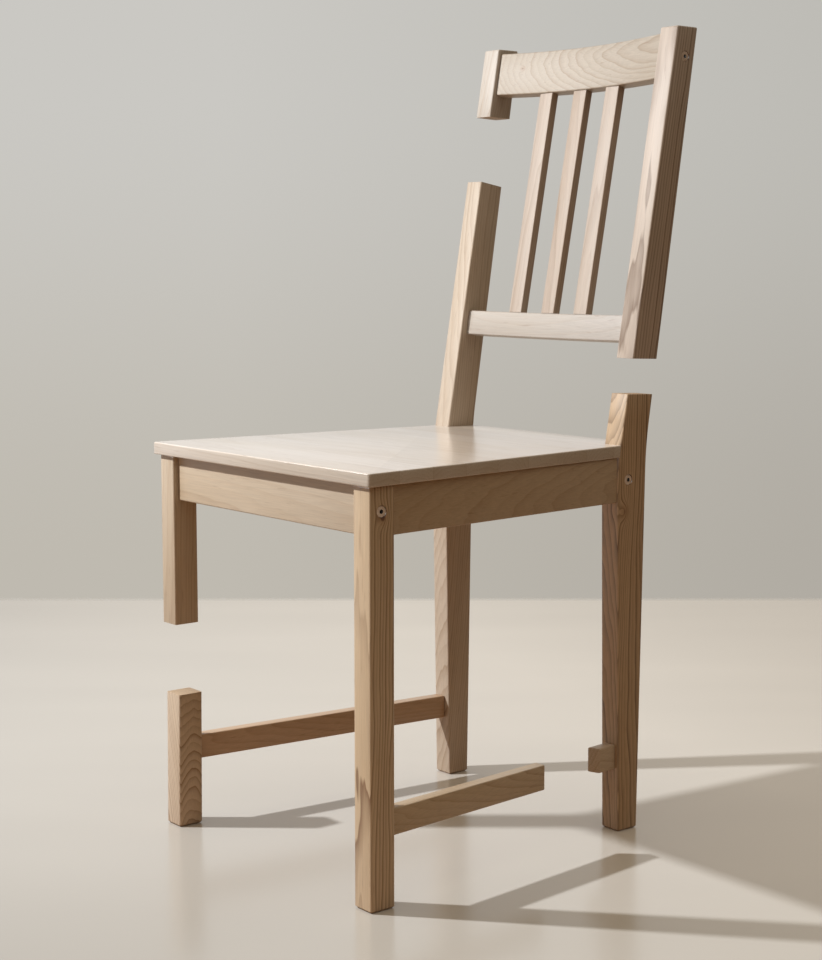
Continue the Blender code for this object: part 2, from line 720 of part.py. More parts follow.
def crest_bolts(posts, rails):
    """A bolt and a locating dowel at each end of the crest rail."""
    up = CREST_BOTTOM_UP + CREST_HEIGHT / 2
    nut_across = BACK_HALF_SPAN - NUT_REACH
    rail_middle = bow_setback(nut_across, CREST_RECESS, CREST_BOW) + CREST_THICKNESS / 2
    nut_axis = on_back(0, 1, 0) - on_back(0, 0, 0)
    for side, post in ((LEFT, posts["left_stub"]), (RIGHT, posts["right_upper"])):
        inward = -side * ACROSS
        name = "crest_" + SIDE_NAMES[side]
        bolted_joint(
            name, on_back(side * REAR_WIDTH / 2, CREST_BOLT_SETBACK, up), inward, POST_WIDTH,
            post, rails["crest"], nut_axis, rail_middle - CREST_BOLT_SETBACK, CREST_THICKNESS)
        face_point = on_back(
            side * (BACK_HALF_SPAN + FIT_GAP / 2), CREST_BOLT_SETBACK, up - LOCATING_DOWEL_DROP)
        dowel(name + "_dowel", face_point, inward, post, rails["crest"])


def seat_screw(name, across, depth, seat, apron):
    """Screw driven up through a deep counterbore in an apron into the seat."""
    tip = SEAT_UNDERSIDE + SCREW_IN_SEAT
    head_top = tip - SCREW_LENGTH
    profile = [
        (0, SCREW_LENGTH), (SCREW_RADIUS, SCREW_LENGTH - SCREW_TAPER), (SCREW_RADIUS, 0),
        (SCREW_HEAD_RADIUS, 0), (SCREW_HEAD_RADIUS, -SCREW_HEAD_THICKNESS),
        (0, -SCREW_HEAD_THICKNESS)]
    screw = turned(name, profile)
    axis_point = Vector((across, depth, 0))
    screw.location = axis_point + UP * head_top
    paint_zinc(screw)
    shank_hole = rod(
        name + "_shank_hole", SCREW_RADIUS + FIT_GAP, axis_point + UP * (head_top - FIT_GAP),
        axis_point + UP * (tip + FIT_GAP), CUTTERS)
    counterbore = rod(
        name + "_counterbore", SCREW_HEAD_RADIUS + FIT_GAP,
        axis_point + UP * (APRON_BOTTOM - SCREW_HEAD_RADIUS),
        axis_point + UP * (head_top + FIT_GAP), CUTTERS)
    subtract(apron, counterbore)
    subtract(apron, shank_hole)
    subtract(seat, shank_hole)


def seat_screws(seat, apron_set):
    rows = (
        ("front", FRONT_APRON_RECESS, FRONT_SCREW_SPREAD),
        ("rear", REAR_APRON_FRONT, REAR_SCREW_SPREAD))
    for end, apron_front, spread in rows:
        for side in (LEFT, RIGHT):
            name = "_".join(("seat", "screw", end, SIDE_NAMES[side]))
            depth = apron_front + APRON_THICKNESS / 2
            seat_screw(name, side * spread / 2, depth, seat, apron_set[end])


def centre_footprint():
    """Bring the middle of the chair's footprint to the origin."""
    bpy.context.view_layer.update()
    finished = bpy.context.evaluated_depsgraph_get()
    depths = []
    for piece in PIECES.objects:
        if piece != CHAIR:
            shape = piece.evaluated_get(finished)
            depths += [(shape.matrix_world @ point.co).y for point in shape.data.vertices]
    CHAIR.location.y -= (min(depths) + max(depths)) / 2


def build_chair():
    clearances = post_clearances()
    legs = front_legs()
    posts = rear_posts()
    seat = seat_board(clearances)
    apron_set = aprons(clearances)
    stretcher_set = stretchers(clearances)
    rails = back_rails()
    back_slats(rails)
    apron_dowels(legs, posts, apron_set)
    stretcher_dowels(legs, posts, stretcher_set)
    lower_rail_dowels(posts, rails)
    apron_bolts(legs, posts, apron_set)
    crest_bolts(posts, rails)
    seat_screws(seat, apron_set)
    centre_footprint()


build_chair()
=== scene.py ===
import math
from collections import namedtuple

import bmesh
import bpy
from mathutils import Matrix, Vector


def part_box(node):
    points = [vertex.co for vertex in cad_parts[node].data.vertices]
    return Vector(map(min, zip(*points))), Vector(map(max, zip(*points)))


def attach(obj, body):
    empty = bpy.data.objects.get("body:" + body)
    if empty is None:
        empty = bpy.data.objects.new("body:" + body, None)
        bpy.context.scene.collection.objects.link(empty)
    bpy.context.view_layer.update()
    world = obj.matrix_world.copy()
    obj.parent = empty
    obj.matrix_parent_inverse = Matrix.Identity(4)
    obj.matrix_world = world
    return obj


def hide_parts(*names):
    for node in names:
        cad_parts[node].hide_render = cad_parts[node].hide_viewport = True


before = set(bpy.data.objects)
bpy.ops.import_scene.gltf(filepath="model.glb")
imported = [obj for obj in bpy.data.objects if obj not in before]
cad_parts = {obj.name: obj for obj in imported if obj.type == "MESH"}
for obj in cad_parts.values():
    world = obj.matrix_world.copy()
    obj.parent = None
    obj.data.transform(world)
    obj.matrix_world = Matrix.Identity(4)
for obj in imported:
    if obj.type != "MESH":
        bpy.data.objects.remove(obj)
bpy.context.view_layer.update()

# The chair's own lines, in metres and radians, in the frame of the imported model
BACK_LEAN = math.radians(9.8)
FIT_GAP = 0.0003
CHAIR_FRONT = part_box("front_right_leg")[0].y
CHAIR_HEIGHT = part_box("rear_right_post_upper")[1].z
SEAT_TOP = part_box("seat")[1].z
SEAT_SIDE_OVERHANG = 0.0075
FRAME_DEPTH = 0.386
LEG_WIDTH = 0.028
POST_WIDTH = 0.027
POST_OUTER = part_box("rear_right_post_lower")[1].x
POST_FOOT_FRONT = CHAIR_FRONT + FRAME_DEPTH
POST_FOOT_DEPTH = 0.0305
POST_KNEE_DEPTH = 0.0455
POST_TOP_DEPTH = 0.0325
KNEE_ADVANCE = 0.008
KNEE_BLEND = 0.030
FRONT_KNEE_DROP = 0.027
REAR_KNEE_DROP = 0.002
KNEE_FRONT = POST_FOOT_FRONT - KNEE_ADVANCE
KNEE_HEIGHT = SEAT_TOP - FRONT_KNEE_DROP
KNEE_REAR = KNEE_FRONT + POST_KNEE_DEPTH
REAR_KNEE_HEIGHT = SEAT_TOP - REAR_KNEE_DROP
BACK_HALF_SPAN = POST_OUTER - POST_WIDTH - FIT_GAP
APRON_THICKNESS = 0.017
STRETCHER_THICKNESS = 0.015
RAIL_THICKNESS = 0.018

# Back rails, and the saw cuts in the posts
CREST_HEIGHT = 0.052
CREST_DROP = 0.005
LOWER_RAIL_HEIGHT = 0.030
LOWER_RAIL_RISE = 0.117
LEFT_STUB_BELOW_CREST = 0.028
LEFT_POST_MISSING_LENGTH = 0.082
RIGHT_STUB_BELOW_RAIL = 0.020
RIGHT_POST_ABOVE_SEAT = 0.058
SLANTED_CUT_TILT = 0.040
STUB_CUT_SKEW = 0.35

# Heights up the leaning front face of the posts, from the knee
POST_TOP_UP = (CHAIR_HEIGHT - KNEE_HEIGHT) / math.cos(BACK_LEAN)
CREST_BOTTOM_UP = POST_TOP_UP - CREST_DROP - CREST_HEIGHT
LOWER_RAIL_BOTTOM_UP = (SEAT_TOP + LOWER_RAIL_RISE - KNEE_HEIGHT) / math.cos(BACK_LEAN)
LOWER_RAIL_TOP_UP = LOWER_RAIL_BOTTOM_UP + LOWER_RAIL_HEIGHT
LEFT_STUB_BOTTOM_UP = CREST_BOTTOM_UP - LEFT_STUB_BELOW_CREST
LEFT_POST_TOP_UP = LEFT_STUB_BOTTOM_UP - LEFT_POST_MISSING_LENGTH
RIGHT_UPPER_BOTTOM_UP = LOWER_RAIL_BOTTOM_UP - RIGHT_STUB_BELOW_RAIL

# Bow of the back rails, and the slats between them
CREST_RECESS = 0.0045
CREST_BOW = 0.014
LOWER_RAIL_RECESS = 0.0085
LOWER_RAIL_BOW = 0.005
SLAT_SPACING = 0.0565
SLAT_SIDE_OFFSET = -0.0025
SLAT_FORWARD_OFFSET = 0.002
SLAT_WIDTH = 0.022
SLAT_THICKNESS = 0.0105
TENON_WIDTH = 0.014
TENON_THICKNESS = 0.0065
TENON_LENGTH = 0.009

# Rounding of edges, and how finely curves are stepped
LEG_ROUND = 0.0020
FOOT_CHAMFER = 0.0022
RAIL_ROUND = 0.0016
SLAT_ROUND = 0.0011
SEAT_CORNER_ROUND = 0.005
SAWN_EDGE = 0.00035
ROUND_STEPS = 4
KNEE_STEPS = 14
BOW_STEPS = 28
SHARP_ANGLE = math.radians(30)
ROUNDED_ANGLE = math.radians(50)
WELD = 0.00001

# Bolts, barrel nuts and seat screws
HEAD_RADIUS = 0.006
HEAD_THICKNESS = 0.003
HEAD_ROUND = 0.0009
HEAD_SIDES = 48
SOCKET_RADIUS = 0.0024
SOCKET_DEPTH = 0.0024
SOCKET_SIDES = 6
SHANK_RADIUS = 0.003
THREAD_PITCH = 0.001
THREAD_LENGTH = 0.024
THREAD_ROOT = 0.82
NUT_RADIUS = 0.005
NUT_SIDES = 46
NUT_ROUND = 0.0004
NUT_SLOT_DEPTH = 0.0014
NUT_SLOT_HALF_WIDTH = 0.0006
SCREW_HEAD_RADIUS = 0.004
SCREW_HEAD_THICKNESS = 0.0025
SCREW_HEAD_ROUND = 0.001
CROSS_REACH = 0.0022
CROSS_HALF_WIDTH = 0.0004
CROSS_DEPTH = 0.0011
SCREW_RADIUS = 0.002

ACROSS = Vector((1, 0, 0))
BACKWARDS = Vector((0, 1, 0))
UP = Vector((0, 0, 1))
WOOD = {}
STEEL = {}


def take_up(piece):
    """Make a piece the only one in hand."""
    bpy.ops.object.select_all(action="DESELECT")
    piece.select_set(True)
    bpy.context.view_layer.objects.active = piece


def open_up(piece):
    """Start work on a piece's faces, with none of them selected."""
    take_up(piece)
    bpy.ops.object.mode_set(mode="EDIT")
    bpy.ops.mesh.select_mode(type="FACE")
    bpy.ops.mesh.select_all(action="DESELECT")


def put_down():
    bpy.ops.object.mode_set(mode="OBJECT")


def draw_out(move):
    """Extrude the selected face by a move."""
    bpy.ops.mesh.extrude_region_move(TRANSFORM_OT_translate={"value": move})


def pick(piece, kind, wanted):
    """Select the faces, edges or corners that pass a test, and nothing else."""
    bpy.ops.mesh.select_mode(type=kind)
    bpy.ops.mesh.select_all(action="DESELECT")
    shape = bmesh.from_edit_mesh(piece.data)
    for part in {"FACE": shape.faces, "EDGE": shape.edges, "VERT": shape.verts}[kind]:
        if wanted(part):
            part.select_set(True)
    bmesh.update_edit_mesh(piece.data)


def facing(direction):
    """Test for faces that look a given way."""
    direction = Vector(direction).normalized()
    return lambda face: face.normal.dot(direction) > 0.999


def climb(edge):
    return abs(edge.verts[0].co.z - edge.verts[1].co.z)


def settle(piece):
    """Put a piece's place and turn into its mesh."""
    take_up(piece)
    bpy.ops.object.transform_apply(location=True, rotation=True, scale=True)


def call_it(piece, name):
    piece.name = name
    piece.data.name = name
    return piece


def blank(name, low, high):
    """Squared blank between two opposite corners."""
    bpy.ops.object.select_all(action="DESELECT")
    low, high = Vector(low), Vector(high)
    bpy.ops.mesh.primitive_cube_add(size=1, location=(low + high) / 2, scale=high - low)
    piece = call_it(bpy.context.object, name)
    settle(piece)
    return piece


def pin(name, radius, start, end, sides=40):
    """Cylinder from one point to another."""
    bpy.ops.object.select_all(action="DESELECT")
    start, end = Vector(start), Vector(end)
    turn = (end - start).to_track_quat("Z", "Y").to_euler()
    bpy.ops.mesh.primitive_cylinder_add(
        vertices=sides, radius=radius, depth=(end - start).length, location=(start + end) / 2,
        rotation=turn)
    piece = call_it(bpy.context.object, name)
    settle(piece)
    return piece


def twin(piece, name):
    """Copy of a piece, with a mesh of its own."""
    copy = piece.copy()
    copy.data = piece.data.copy()
    bpy.context.scene.collection.objects.link(copy)
    return call_it(copy, name)


def round_edges(piece, width):
    """Round a blank's sharp edges over; the second slot marks the rounded strips for wear."""
    take_up(piece)
    edge = piece.modifiers.new("rounded_edges", "BEVEL")
    edge.width = width
    edge.segments = ROUND_STEPS
    edge.limit_method = "ANGLE"
    edge.angle_limit = ROUNDED_ANGLE
    edge.material = 1
    bpy.ops.object.modifier_apply(modifier=edge.name)


def chamfer_foot(piece):
    """Plane the edges round the foot at an angle, so that it doesn't splinter when dragged."""
    open_up(piece)
    pick(piece, "FACE", facing(-UP))
    bpy.ops.mesh.bevel(offset=FOOT_CHAMFER, segments=1, affect="EDGES")
    put_down()


def cut_away(piece, cutter):
    """Take the cutter's shape out of a piece, and throw the cutter away."""
    take_up(piece)
    step = piece.modifiers.new("cut", "BOOLEAN")
    step.operation = "DIFFERENCE"
    step.solver = "EXACT"
    step.object = cutter
    bpy.ops.object.modifier_apply(modifier=step.name)
    bpy.data.objects.remove(cutter, do_unlink=True)


def drill(piece, radius, start, end):
    cut_away(piece, pin("drill", radius, start, end))


def saw_off(piece, point, lost_side):
    """Saw a piece through at a point, drop the lost side and leave a crisp edge."""
    lost_side = Vector(lost_side).normalized()
    open_up(piece)
    bpy.ops.mesh.select_all(action="SELECT")
    bpy.ops.mesh.bisect(
        plane_co=point, plane_no=lost_side, use_fill=True, clear_outer=True, threshold=WELD)
    pick(piece, "FACE", facing(lost_side))
    bpy.ops.mesh.bevel(offset=SAWN_EDGE, segments=2, affect="EDGES", material=1)
    put_down()


def bend_depth(height, knee_depth, knee_height, slope_below, slope_above):
    """Depth of a post's face at a height: two straight lines with a rounded bend between."""
    rise = height - knee_height
    if abs(rise) >= KNEE_BLEND:
        return knee_depth + rise * (slope_above if rise > 0 else slope_below)
    bent = (rise + KNEE_BLEND) ** 2 / (4 * KNEE_BLEND)
    return knee_depth + rise * slope_below + bent * (slope_above - slope_below)


def post_section(height):
    """Depths of a rear post's front and rear face at a height."""
    front = bend_depth(
        height, KNEE_FRONT, KNEE_HEIGHT, -KNEE_ADVANCE / KNEE_HEIGHT, math.tan(BACK_LEAN))
    foot_rear = POST_FOOT_FRONT + POST_FOOT_DEPTH
    top_rear = KNEE_FRONT + (CHAIR_HEIGHT - KNEE_HEIGHT) * math.tan(BACK_LEAN) + POST_TOP_DEPTH
    rear = bend_depth(
        height, KNEE_REAR, REAR_KNEE_HEIGHT, (KNEE_REAR - foot_rear) / REAR_KNEE_HEIGHT,
        (top_rear - KNEE_REAR) / (CHAIR_HEIGHT - REAR_KNEE_HEIGHT))
    return front, rear


def post_blank(name, side):
    """Whole rear post: a raked leg, a knee at the seat and a leaning upright."""
    walls = sorted((side * POST_OUTER, side * (POST_OUTER - POST_WIDTH)))
    bend_start = KNEE_HEIGHT - KNEE_BLEND
    bend = REAR_KNEE_HEIGHT + KNEE_BLEND - bend_start
    heights = [bend_start + bend * step / KNEE_STEPS for step in range(KNEE_STEPS + 1)]
    heights.append(CHAIR_HEIGHT)
    front, rear = post_section(0)
    height = bend_start / 2
    post = blank(name, (walls[0], front, 0), (walls[1], rear, height))
    open_up(post)
    pick(post, "FACE", facing(UP))
    for next_height in heights:
        next_front, next_rear = post_section(next_height)
        move = Vector((0, (next_front + next_rear - front - rear) / 2, next_height - height))
        if next_height == bend_start:
            bpy.ops.transform.translate(value=move)
        else:
            draw_out(move)
        growth = (next_rear - next_front) / (rear - front)
        middle = (sum(walls) / 2, (next_front + next_rear) / 2, next_height)
        bpy.ops.transform.resize(value=(1, growth, 1), center_override=middle)
        front, rear, height = next_front, next_rear, next_height
    put_down()
    return post


def on_back(across, setback, up):
    """Point given along the leaning front face of the posts, from the knee."""
    lean_back = Vector((0, math.cos(BACK_LEAN), -math.sin(BACK_LEAN)))
    lean_up = Vector((0, math.sin(BACK_LEAN), math.cos(BACK_LEAN)))
    return Vector((across, KNEE_FRONT, KNEE_HEIGHT)) + lean_back * setback + lean_up * up


def level_cut(tilt):
    """Upward normal of a saw cut that drops towards the back by a tilt."""
    return Vector((0, math.sin(tilt), math.cos(tilt)))


def rear_post(node_name, side):
    post = post_blank(node_name + "_wood", side)
    chamfer_foot(post)
    round_edges(post, LEG_ROUND)
    WOOD[node_name] = post
    return post


def make_posts():
    left = rear_post("rear_left_post", -1)
    saw_off(left, on_back(0, 0, LEFT_POST_TOP_UP), level_cut(BACK_LEAN))
    left_stub = rear_post("rear_left_post_stub", -1)
    saw_off(left_stub, on_back(0, 0, LEFT_STUB_BOTTOM_UP), -level_cut(SLANTED_CUT_TILT))
    right = rear_post("rear_right_post_lower", 1)
    right_cut = Vector((0, KNEE_FRONT, SEAT_TOP + RIGHT_POST_ABOVE_SEAT))
    saw_off(right, right_cut, level_cut(SLANTED_CUT_TILT))
    right_upper = rear_post("rear_right_post_upper", 1)
    saw_off(right_upper, on_back(0, 0, RIGHT_UPPER_BOTTOM_UP), -level_cut(SLANTED_CUT_TILT))


def make_front_legs():
    """Whole right leg, the left leg's stub under the seat and its leaning stump on the floor."""
    low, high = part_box("front_right_leg")
    leg = blank("front_right_leg_wood", low, high)
    chamfer_foot(leg)
    round_edges(leg, LEG_ROUND)
    low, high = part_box("front_left_leg_stub")
    stub = blank("front_left_leg_stub_wood", low - UP * LEG_WIDTH, high)
    round_edges(stub, LEG_ROUND)
    saw_off(stub, low, -UP)
    low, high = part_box("front_left_leg_stump")
    drift = (high.x - low.x - LEG_WIDTH) * (high.z + LEG_WIDTH) / high.z
    top = Vector((low.x + LEG_WIDTH, high.y, high.z + LEG_WIDTH))
    stump = blank("front_left_leg_stump_wood", low, top)
    open_up(stump)
    pick(stump, "FACE", facing(UP))
    bpy.ops.transform.translate(value=(drift, 0, 0))
    put_down()
    chamfer_foot(stump)
    round_edges(stump, LEG_ROUND)
    saw_off(stump, high, UP)
    WOOD.update(
        front_right_leg=leg, front_left_leg_stub=stub, front_left_leg_stump=stump)


def cross_apron(node_name):
    apron = blank(node_name + "_wood", *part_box(node_name))
    round_edges(apron, RAIL_ROUND)
    WOOD[node_name] = apron


def side_rail(node_name, like, side, thickness):
    """Rail from a front leg to a rear post, tapering in and coped to the post's sloping face."""
    low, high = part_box(like)
    reach = max(abs(low.x), abs(high.x))
    taper = high.x - low.x - thickness
    walls = sorted((side * reach, side * (reach - thickness)))
    rail = blank(node_name + "_wood", (walls[0], low.y, low.z), (walls[1], high.y, high.z))
    open_up(rail)
    pick(rail, "FACE", facing(BACKWARDS))
    bpy.ops.transform.translate(value=(-side * taper, 0, 0))
    pick(rail, "EDGE", lambda edge: all(
        vertex.co.y > high.y - WELD and vertex.co.z > high.z - WELD for vertex in edge.verts))
    bpy.ops.transform.translate(value=(0, -(high.z - low.z) * KNEE_ADVANCE / KNEE_HEIGHT, 0))
    put_down()
    round_edges(rail, RAIL_ROUND)
    WOOD[node_name] = rail
    return rail


def make_aprons():
    cross_apron("front_apron")
    cross_apron("rear_apron")
    side_rail("left_apron", "left_apron", -1, APRON_THICKNESS)
    side_rail("right_apron", "right_apron", 1, APRON_THICKNESS)


def make_stretchers():
    """Whole left stretcher, and the right one's two lengths on each side of what is lost."""
    side_rail("left_stretcher", "left_stretcher", -1, STRETCHER_THICKNESS)
    front = side_rail("right_stretcher_front", "left_stretcher", 1, STRETCHER_THICKNESS)
    saw_off(front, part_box("right_stretcher_front")[1], BACKWARDS)
    stub = side_rail("right_stretcher_stub", "left_stretcher", 1, STRETCHER_THICKNESS)
    low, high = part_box("right_stretcher_stub")
    skewed = Vector((math.sin(STUB_CUT_SKEW), -math.cos(STUB_CUT_SKEW), 0))
    saw_off(stub, (high.x - STRETCHER_THICKNESS, low.y, low.z), skewed)


def make_seat():
    """Seat panel, narrower at the back, notched out round both rear posts."""
    low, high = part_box("seat")
    front_reach = -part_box("front_left_leg_stub")[0].x + SEAT_SIDE_OVERHANG
    seat = blank("seat_wood", (-front_reach, low.y, low.z), (front_reach, KNEE_FRONT, high.z))
    open_up(seat)
    pick(seat, "FACE", facing(BACKWARDS))
    bpy.ops.transform.resize(
        value=(POST_OUTER / front_reach, 1, 1), center_override=(0, KNEE_FRONT, high.z))
    draw_out((0, high.y - KNEE_FRONT, 0))
    pick(seat, "EDGE", lambda edge: climb(edge) > WELD and all(
        vertex.co.y < low.y + WELD for vertex in edge.verts))
    bpy.ops.mesh.bevel(offset=SEAT_CORNER_ROUND, segments=6, affect="EDGES")
    put_down()
    round_edges(seat, RAIL_ROUND)
    for side in (-1, 1):
        notch = post_blank("notch", side)
        open_up(notch)
        bpy.ops.mesh.select_all(action="SELECT")
        bpy.ops.transform.shrink_fatten(value=FIT_GAP)
        put_down()
        cut_away(seat, notch)
        walls = sorted((side * BACK_HALF_SPAN, side * POST_OUTER * 1.2))
        corner = blank(
            "notch_corner", (walls[0], (KNEE_FRONT + KNEE_REAR) / 2, low.z - RAIL_THICKNESS),
            (walls[1], high.y + RAIL_THICKNESS, high.z + RAIL_THICKNESS))
        cut_away(seat, corner)
    WOOD["seat"] = seat


def bow_setback(across, recess, bow):
    """How far behind the posts' front faces a bowed rail's front face lies."""
    return recess + bow * (1 - (across / BACK_HALF_SPAN) ** 2)


def bowed_rail(node_name, bottom_up, height, recess, bow):
    """Back rail between the posts, drawn out sideways along its bow."""
    step = 2 * BACK_HALF_SPAN / BOW_STEPS
    left = -BACK_HALF_SPAN
    setback = bow_setback(left, recess, bow)
    rail = blank(
        node_name + "_wood", (left, setback, -height / 2),
        (left + step / 2, setback + RAIL_THICKNESS, height / 2))
    open_up(rail)
    pick(rail, "FACE", facing(ACROSS))
    bpy.ops.transform.translate(
        value=(step / 2, bow_setback(left + step, recess, bow) - setback, 0))
    for count in range(1, BOW_STEPS):
        here = left + count * step
        sweep = bow_setback(here + step, recess, bow) - bow_setback(here, recess, bow)
        draw_out((step, sweep, 0))
    put_down()
    round_edges(rail, RAIL_ROUND)
    rail.location = on_back(0, 0, bottom_up + height / 2)
    rail.rotation_euler.x = -BACK_LEAN
    settle(rail)
    WOOD[node_name] = rail


def slat_shape(name, half_length, fit):
    """Slat on end with a tenon at both ends, grown by a fit where it cuts its own mortises."""
    half = Vector((SLAT_WIDTH / 2, SLAT_THICKNESS / 2, half_length))
    slat = blank(name, -half, half)
    open_up(slat)
    pick(slat, "EDGE", lambda edge: climb(edge) > half_length)
    bpy.ops.mesh.bevel(
        offset=SLAT_ROUND, segments=ROUND_STEPS, affect="EDGES", material=1)
    shrink = ((TENON_WIDTH + fit) / SLAT_WIDTH, (TENON_THICKNESS + fit) / SLAT_THICKNESS, 1)
    for end in (UP, -UP):
        pick(slat, "FACE", facing(end))
        draw_out((0, 0, 0))
        bpy.ops.transform.resize(value=shrink, center_override=end * half_length)
        draw_out(end * (TENON_LENGTH + fit / 2))
    put_down()
    return slat


def make_back():
    """Crest rail, lower rail, and three slats tenoned into both."""
    bowed_rail("crest_rail", CREST_BOTTOM_UP, CREST_HEIGHT, CREST_RECESS, CREST_BOW)
    bowed_rail(
        "lower_back_rail", LOWER_RAIL_BOTTOM_UP, LOWER_RAIL_HEIGHT, LOWER_RAIL_RECESS,
        LOWER_RAIL_BOW)
    space = CREST_BOTTOM_UP - LOWER_RAIL_TOP_UP
    first = slat_shape("first_slat", space / 2 - FIT_GAP, 0)
    cutter = slat_shape("mortise_cutter", space / 2 - FIT_GAP, 2 * FIT_GAP)
    for number in (1, 2, 3):
        across = (number - 2) * SLAT_SPACING + SLAT_SIDE_OFFSET
        top = bow_setback(across, CREST_RECESS, CREST_BOW) + RAIL_THICKNESS / 2
        bottom = bow_setback(across, LOWER_RAIL_RECESS, LOWER_RAIL_BOW) + RAIL_THICKNESS / 2
        node_name = "slat_" + str(number)
        slat = twin(first, node_name + "_wood")
        mortise = twin(cutter, "mortise")
        for item in (slat, mortise):
            item.location = on_back(
                across, (top + bottom) / 2 - SLAT_FORWARD_OFFSET, LOWER_RAIL_TOP_UP + space / 2)
            item.rotation_euler.x = -BACK_LEAN - math.atan2(top - bottom, space)
            settle(item)
        cut_away(WOOD["crest_rail"], twin(mortise, "crest_mortise"))
        cut_away(WOOD["lower_back_rail"], mortise)
        WOOD[node_name] = slat
    bpy.data.objects.remove(first, do_unlink=True)
    bpy.data.objects.remove(cutter, do_unlink=True)


def thread_ridges(direction, count):
    """Draw the selected shank end out along a direction in the ridges of a thread."""
    for share in (THREAD_ROOT, 1 / THREAD_ROOT) * count:
        draw_out(direction * THREAD_PITCH / 2)
        bpy.ops.transform.resize(value=(share, share, share))


def first_bolt(total_length):
    """Cap-head bolt along X with its head at the origin, a hexagon socket and a threaded end."""
    bolt = pin("first_bolt", HEAD_RADIUS, (HEAD_THICKNESS, 0, 0), (0, 0, 0), HEAD_SIDES)
    open_up(bolt)
    pick(bolt, "FACE", facing(-ACROSS))
    bpy.ops.mesh.bevel(offset=HEAD_ROUND, segments=3, affect="EDGES")
    pick(bolt, "FACE", facing(ACROSS))
    bpy.ops.mesh.inset(thickness=HEAD_RADIUS - SHANK_RADIUS)
    draw_out((total_length - HEAD_THICKNESS - THREAD_LENGTH, 0, 0))
    thread_ridges(ACROSS, round(THREAD_LENGTH / THREAD_PITCH))
    put_down()
    depth = ACROSS * SOCKET_DEPTH
    cut_away(bolt, pin("socket", SOCKET_RADIUS, -depth, depth, SOCKET_SIDES))
    # The faces inside the hex socket are marked here for painted shade: the steel material darkens
    # them to stand in for the shadow in the socket.
    recess = bolt.data.attributes.new("recess", "FLOAT", "FACE")
    for polygon, mark in zip(bolt.data.polygons, recess.data):
        middle = polygon.center
        inside = SOCKET_DEPTH * 0.1 < middle.x < SOCKET_DEPTH + WELD
        near = middle.yz.length < SOCKET_RADIUS * 0.99
        mark.value = 1.0 if inside and near else 0.0
    return bolt


def first_barrel_nut():
    """Barrel nut along Z with a screwdriver slot in its outer end."""
    low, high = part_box("front_apron_left_barrel_nut")
    length = high.y - low.y
    nut = pin("first_nut", NUT_RADIUS, -UP * length / 2, UP * length / 2, NUT_SIDES)
    round_edges(nut, NUT_ROUND)
    slot = blank(
        "slot", (-NUT_RADIUS * 2, -NUT_SLOT_HALF_WIDTH, length / 2 - NUT_SLOT_DEPTH),
        (NUT_RADIUS * 2, NUT_SLOT_HALF_WIDTH, length))
    cut_away(nut, slot)
    drill(nut, SHANK_RADIUS + FIT_GAP, -ACROSS * NUT_RADIUS * 2, ACROSS * NUT_RADIUS * 2)
    return nut


def first_seat_screw():
    """Pan-head wood screw along Z, point up, with a cross recess; its head's underside at 0."""
    low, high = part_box("seat_screw_front_left")
    head = SCREW_HEAD_THICKNESS
    length = high.z - low.z - head
    plain = length * 0.3
    ridges = round(length * 0.55 / THREAD_PITCH)
    screw = pin("first_screw", SCREW_HEAD_RADIUS, -UP * head, (0, 0, 0))
    open_up(screw)
    pick(screw, "FACE", facing(-UP))
    bpy.ops.mesh.bevel(offset=SCREW_HEAD_ROUND, segments=4, affect="EDGES")
    pick(screw, "FACE", facing(UP))
    bpy.ops.mesh.inset(thickness=SCREW_HEAD_RADIUS - SCREW_RADIUS)
    draw_out((0, 0, plain))
    thread_ridges(UP, ridges)
    draw_out((0, 0, length - plain - ridges * THREAD_PITCH))
    bpy.ops.transform.resize(value=(0.1, 0.1, 1))
    put_down()
    for reach, width in ((CROSS_REACH, CROSS_HALF_WIDTH), (CROSS_HALF_WIDTH, CROSS_REACH)):
        half = Vector((reach, width, CROSS_DEPTH))
        cut_away(screw, blank("recess", -half - UP * head, half - UP * head))
    return screw


BoltedJoint = namedtuple("BoltedJoint", "name leg rail nut_tilt")
BOLTED_JOINTS = (
    BoltedJoint("front_apron_left", "front_left_leg_stub", "front_apron", 0),
    BoltedJoint("front_apron_right", "front_right_leg", "front_apron", 0),
    BoltedJoint("rear_apron_left", "rear_left_post", "rear_apron", 0),
    BoltedJoint("rear_apron_right", "rear_right_post_lower", "rear_apron", 0),
    BoltedJoint("crest_left", "rear_left_post_stub", "crest_rail", BACK_LEAN),
    BoltedJoint("crest_right", "rear_right_post_upper", "crest_rail", BACK_LEAN))
DOWEL_HOSTS = {
    "left_apron_front_lower": ("front_left_leg_stub", "left_apron"),
    "left_apron_front_upper": ("front_left_leg_stub", "left_apron"),
    "right_apron_front_lower": ("front_right_leg", "right_apron"),
    "right_apron_front_upper": ("front_right_leg", "right_apron"),
    "left_apron_rear_lower": ("rear_left_post", "left_apron"),
    "left_apron_rear_upper": ("rear_left_post", "left_apron"),
    "right_apron_rear_lower": ("rear_right_post_lower", "right_apron"),
    "right_apron_rear_upper": ("rear_right_post_lower", "right_apron"),
    "left_stretcher_front": ("front_left_leg_stump", "left_stretcher"),
    "left_stretcher_rear": ("rear_left_post", "left_stretcher"),
    "right_stretcher_front": ("front_right_leg", "right_stretcher_front"),
    "right_stretcher_rear": ("rear_right_post_lower", "right_stretcher_stub"),
    "lower_rail_left": ("rear_left_post", "lower_back_rail"),
    "lower_rail_right": ("rear_right_post_upper", "lower_back_rail")}
for joint in BOLTED_JOINTS:
    DOWEL_HOSTS[joint.name] = (joint.leg, joint.rail)


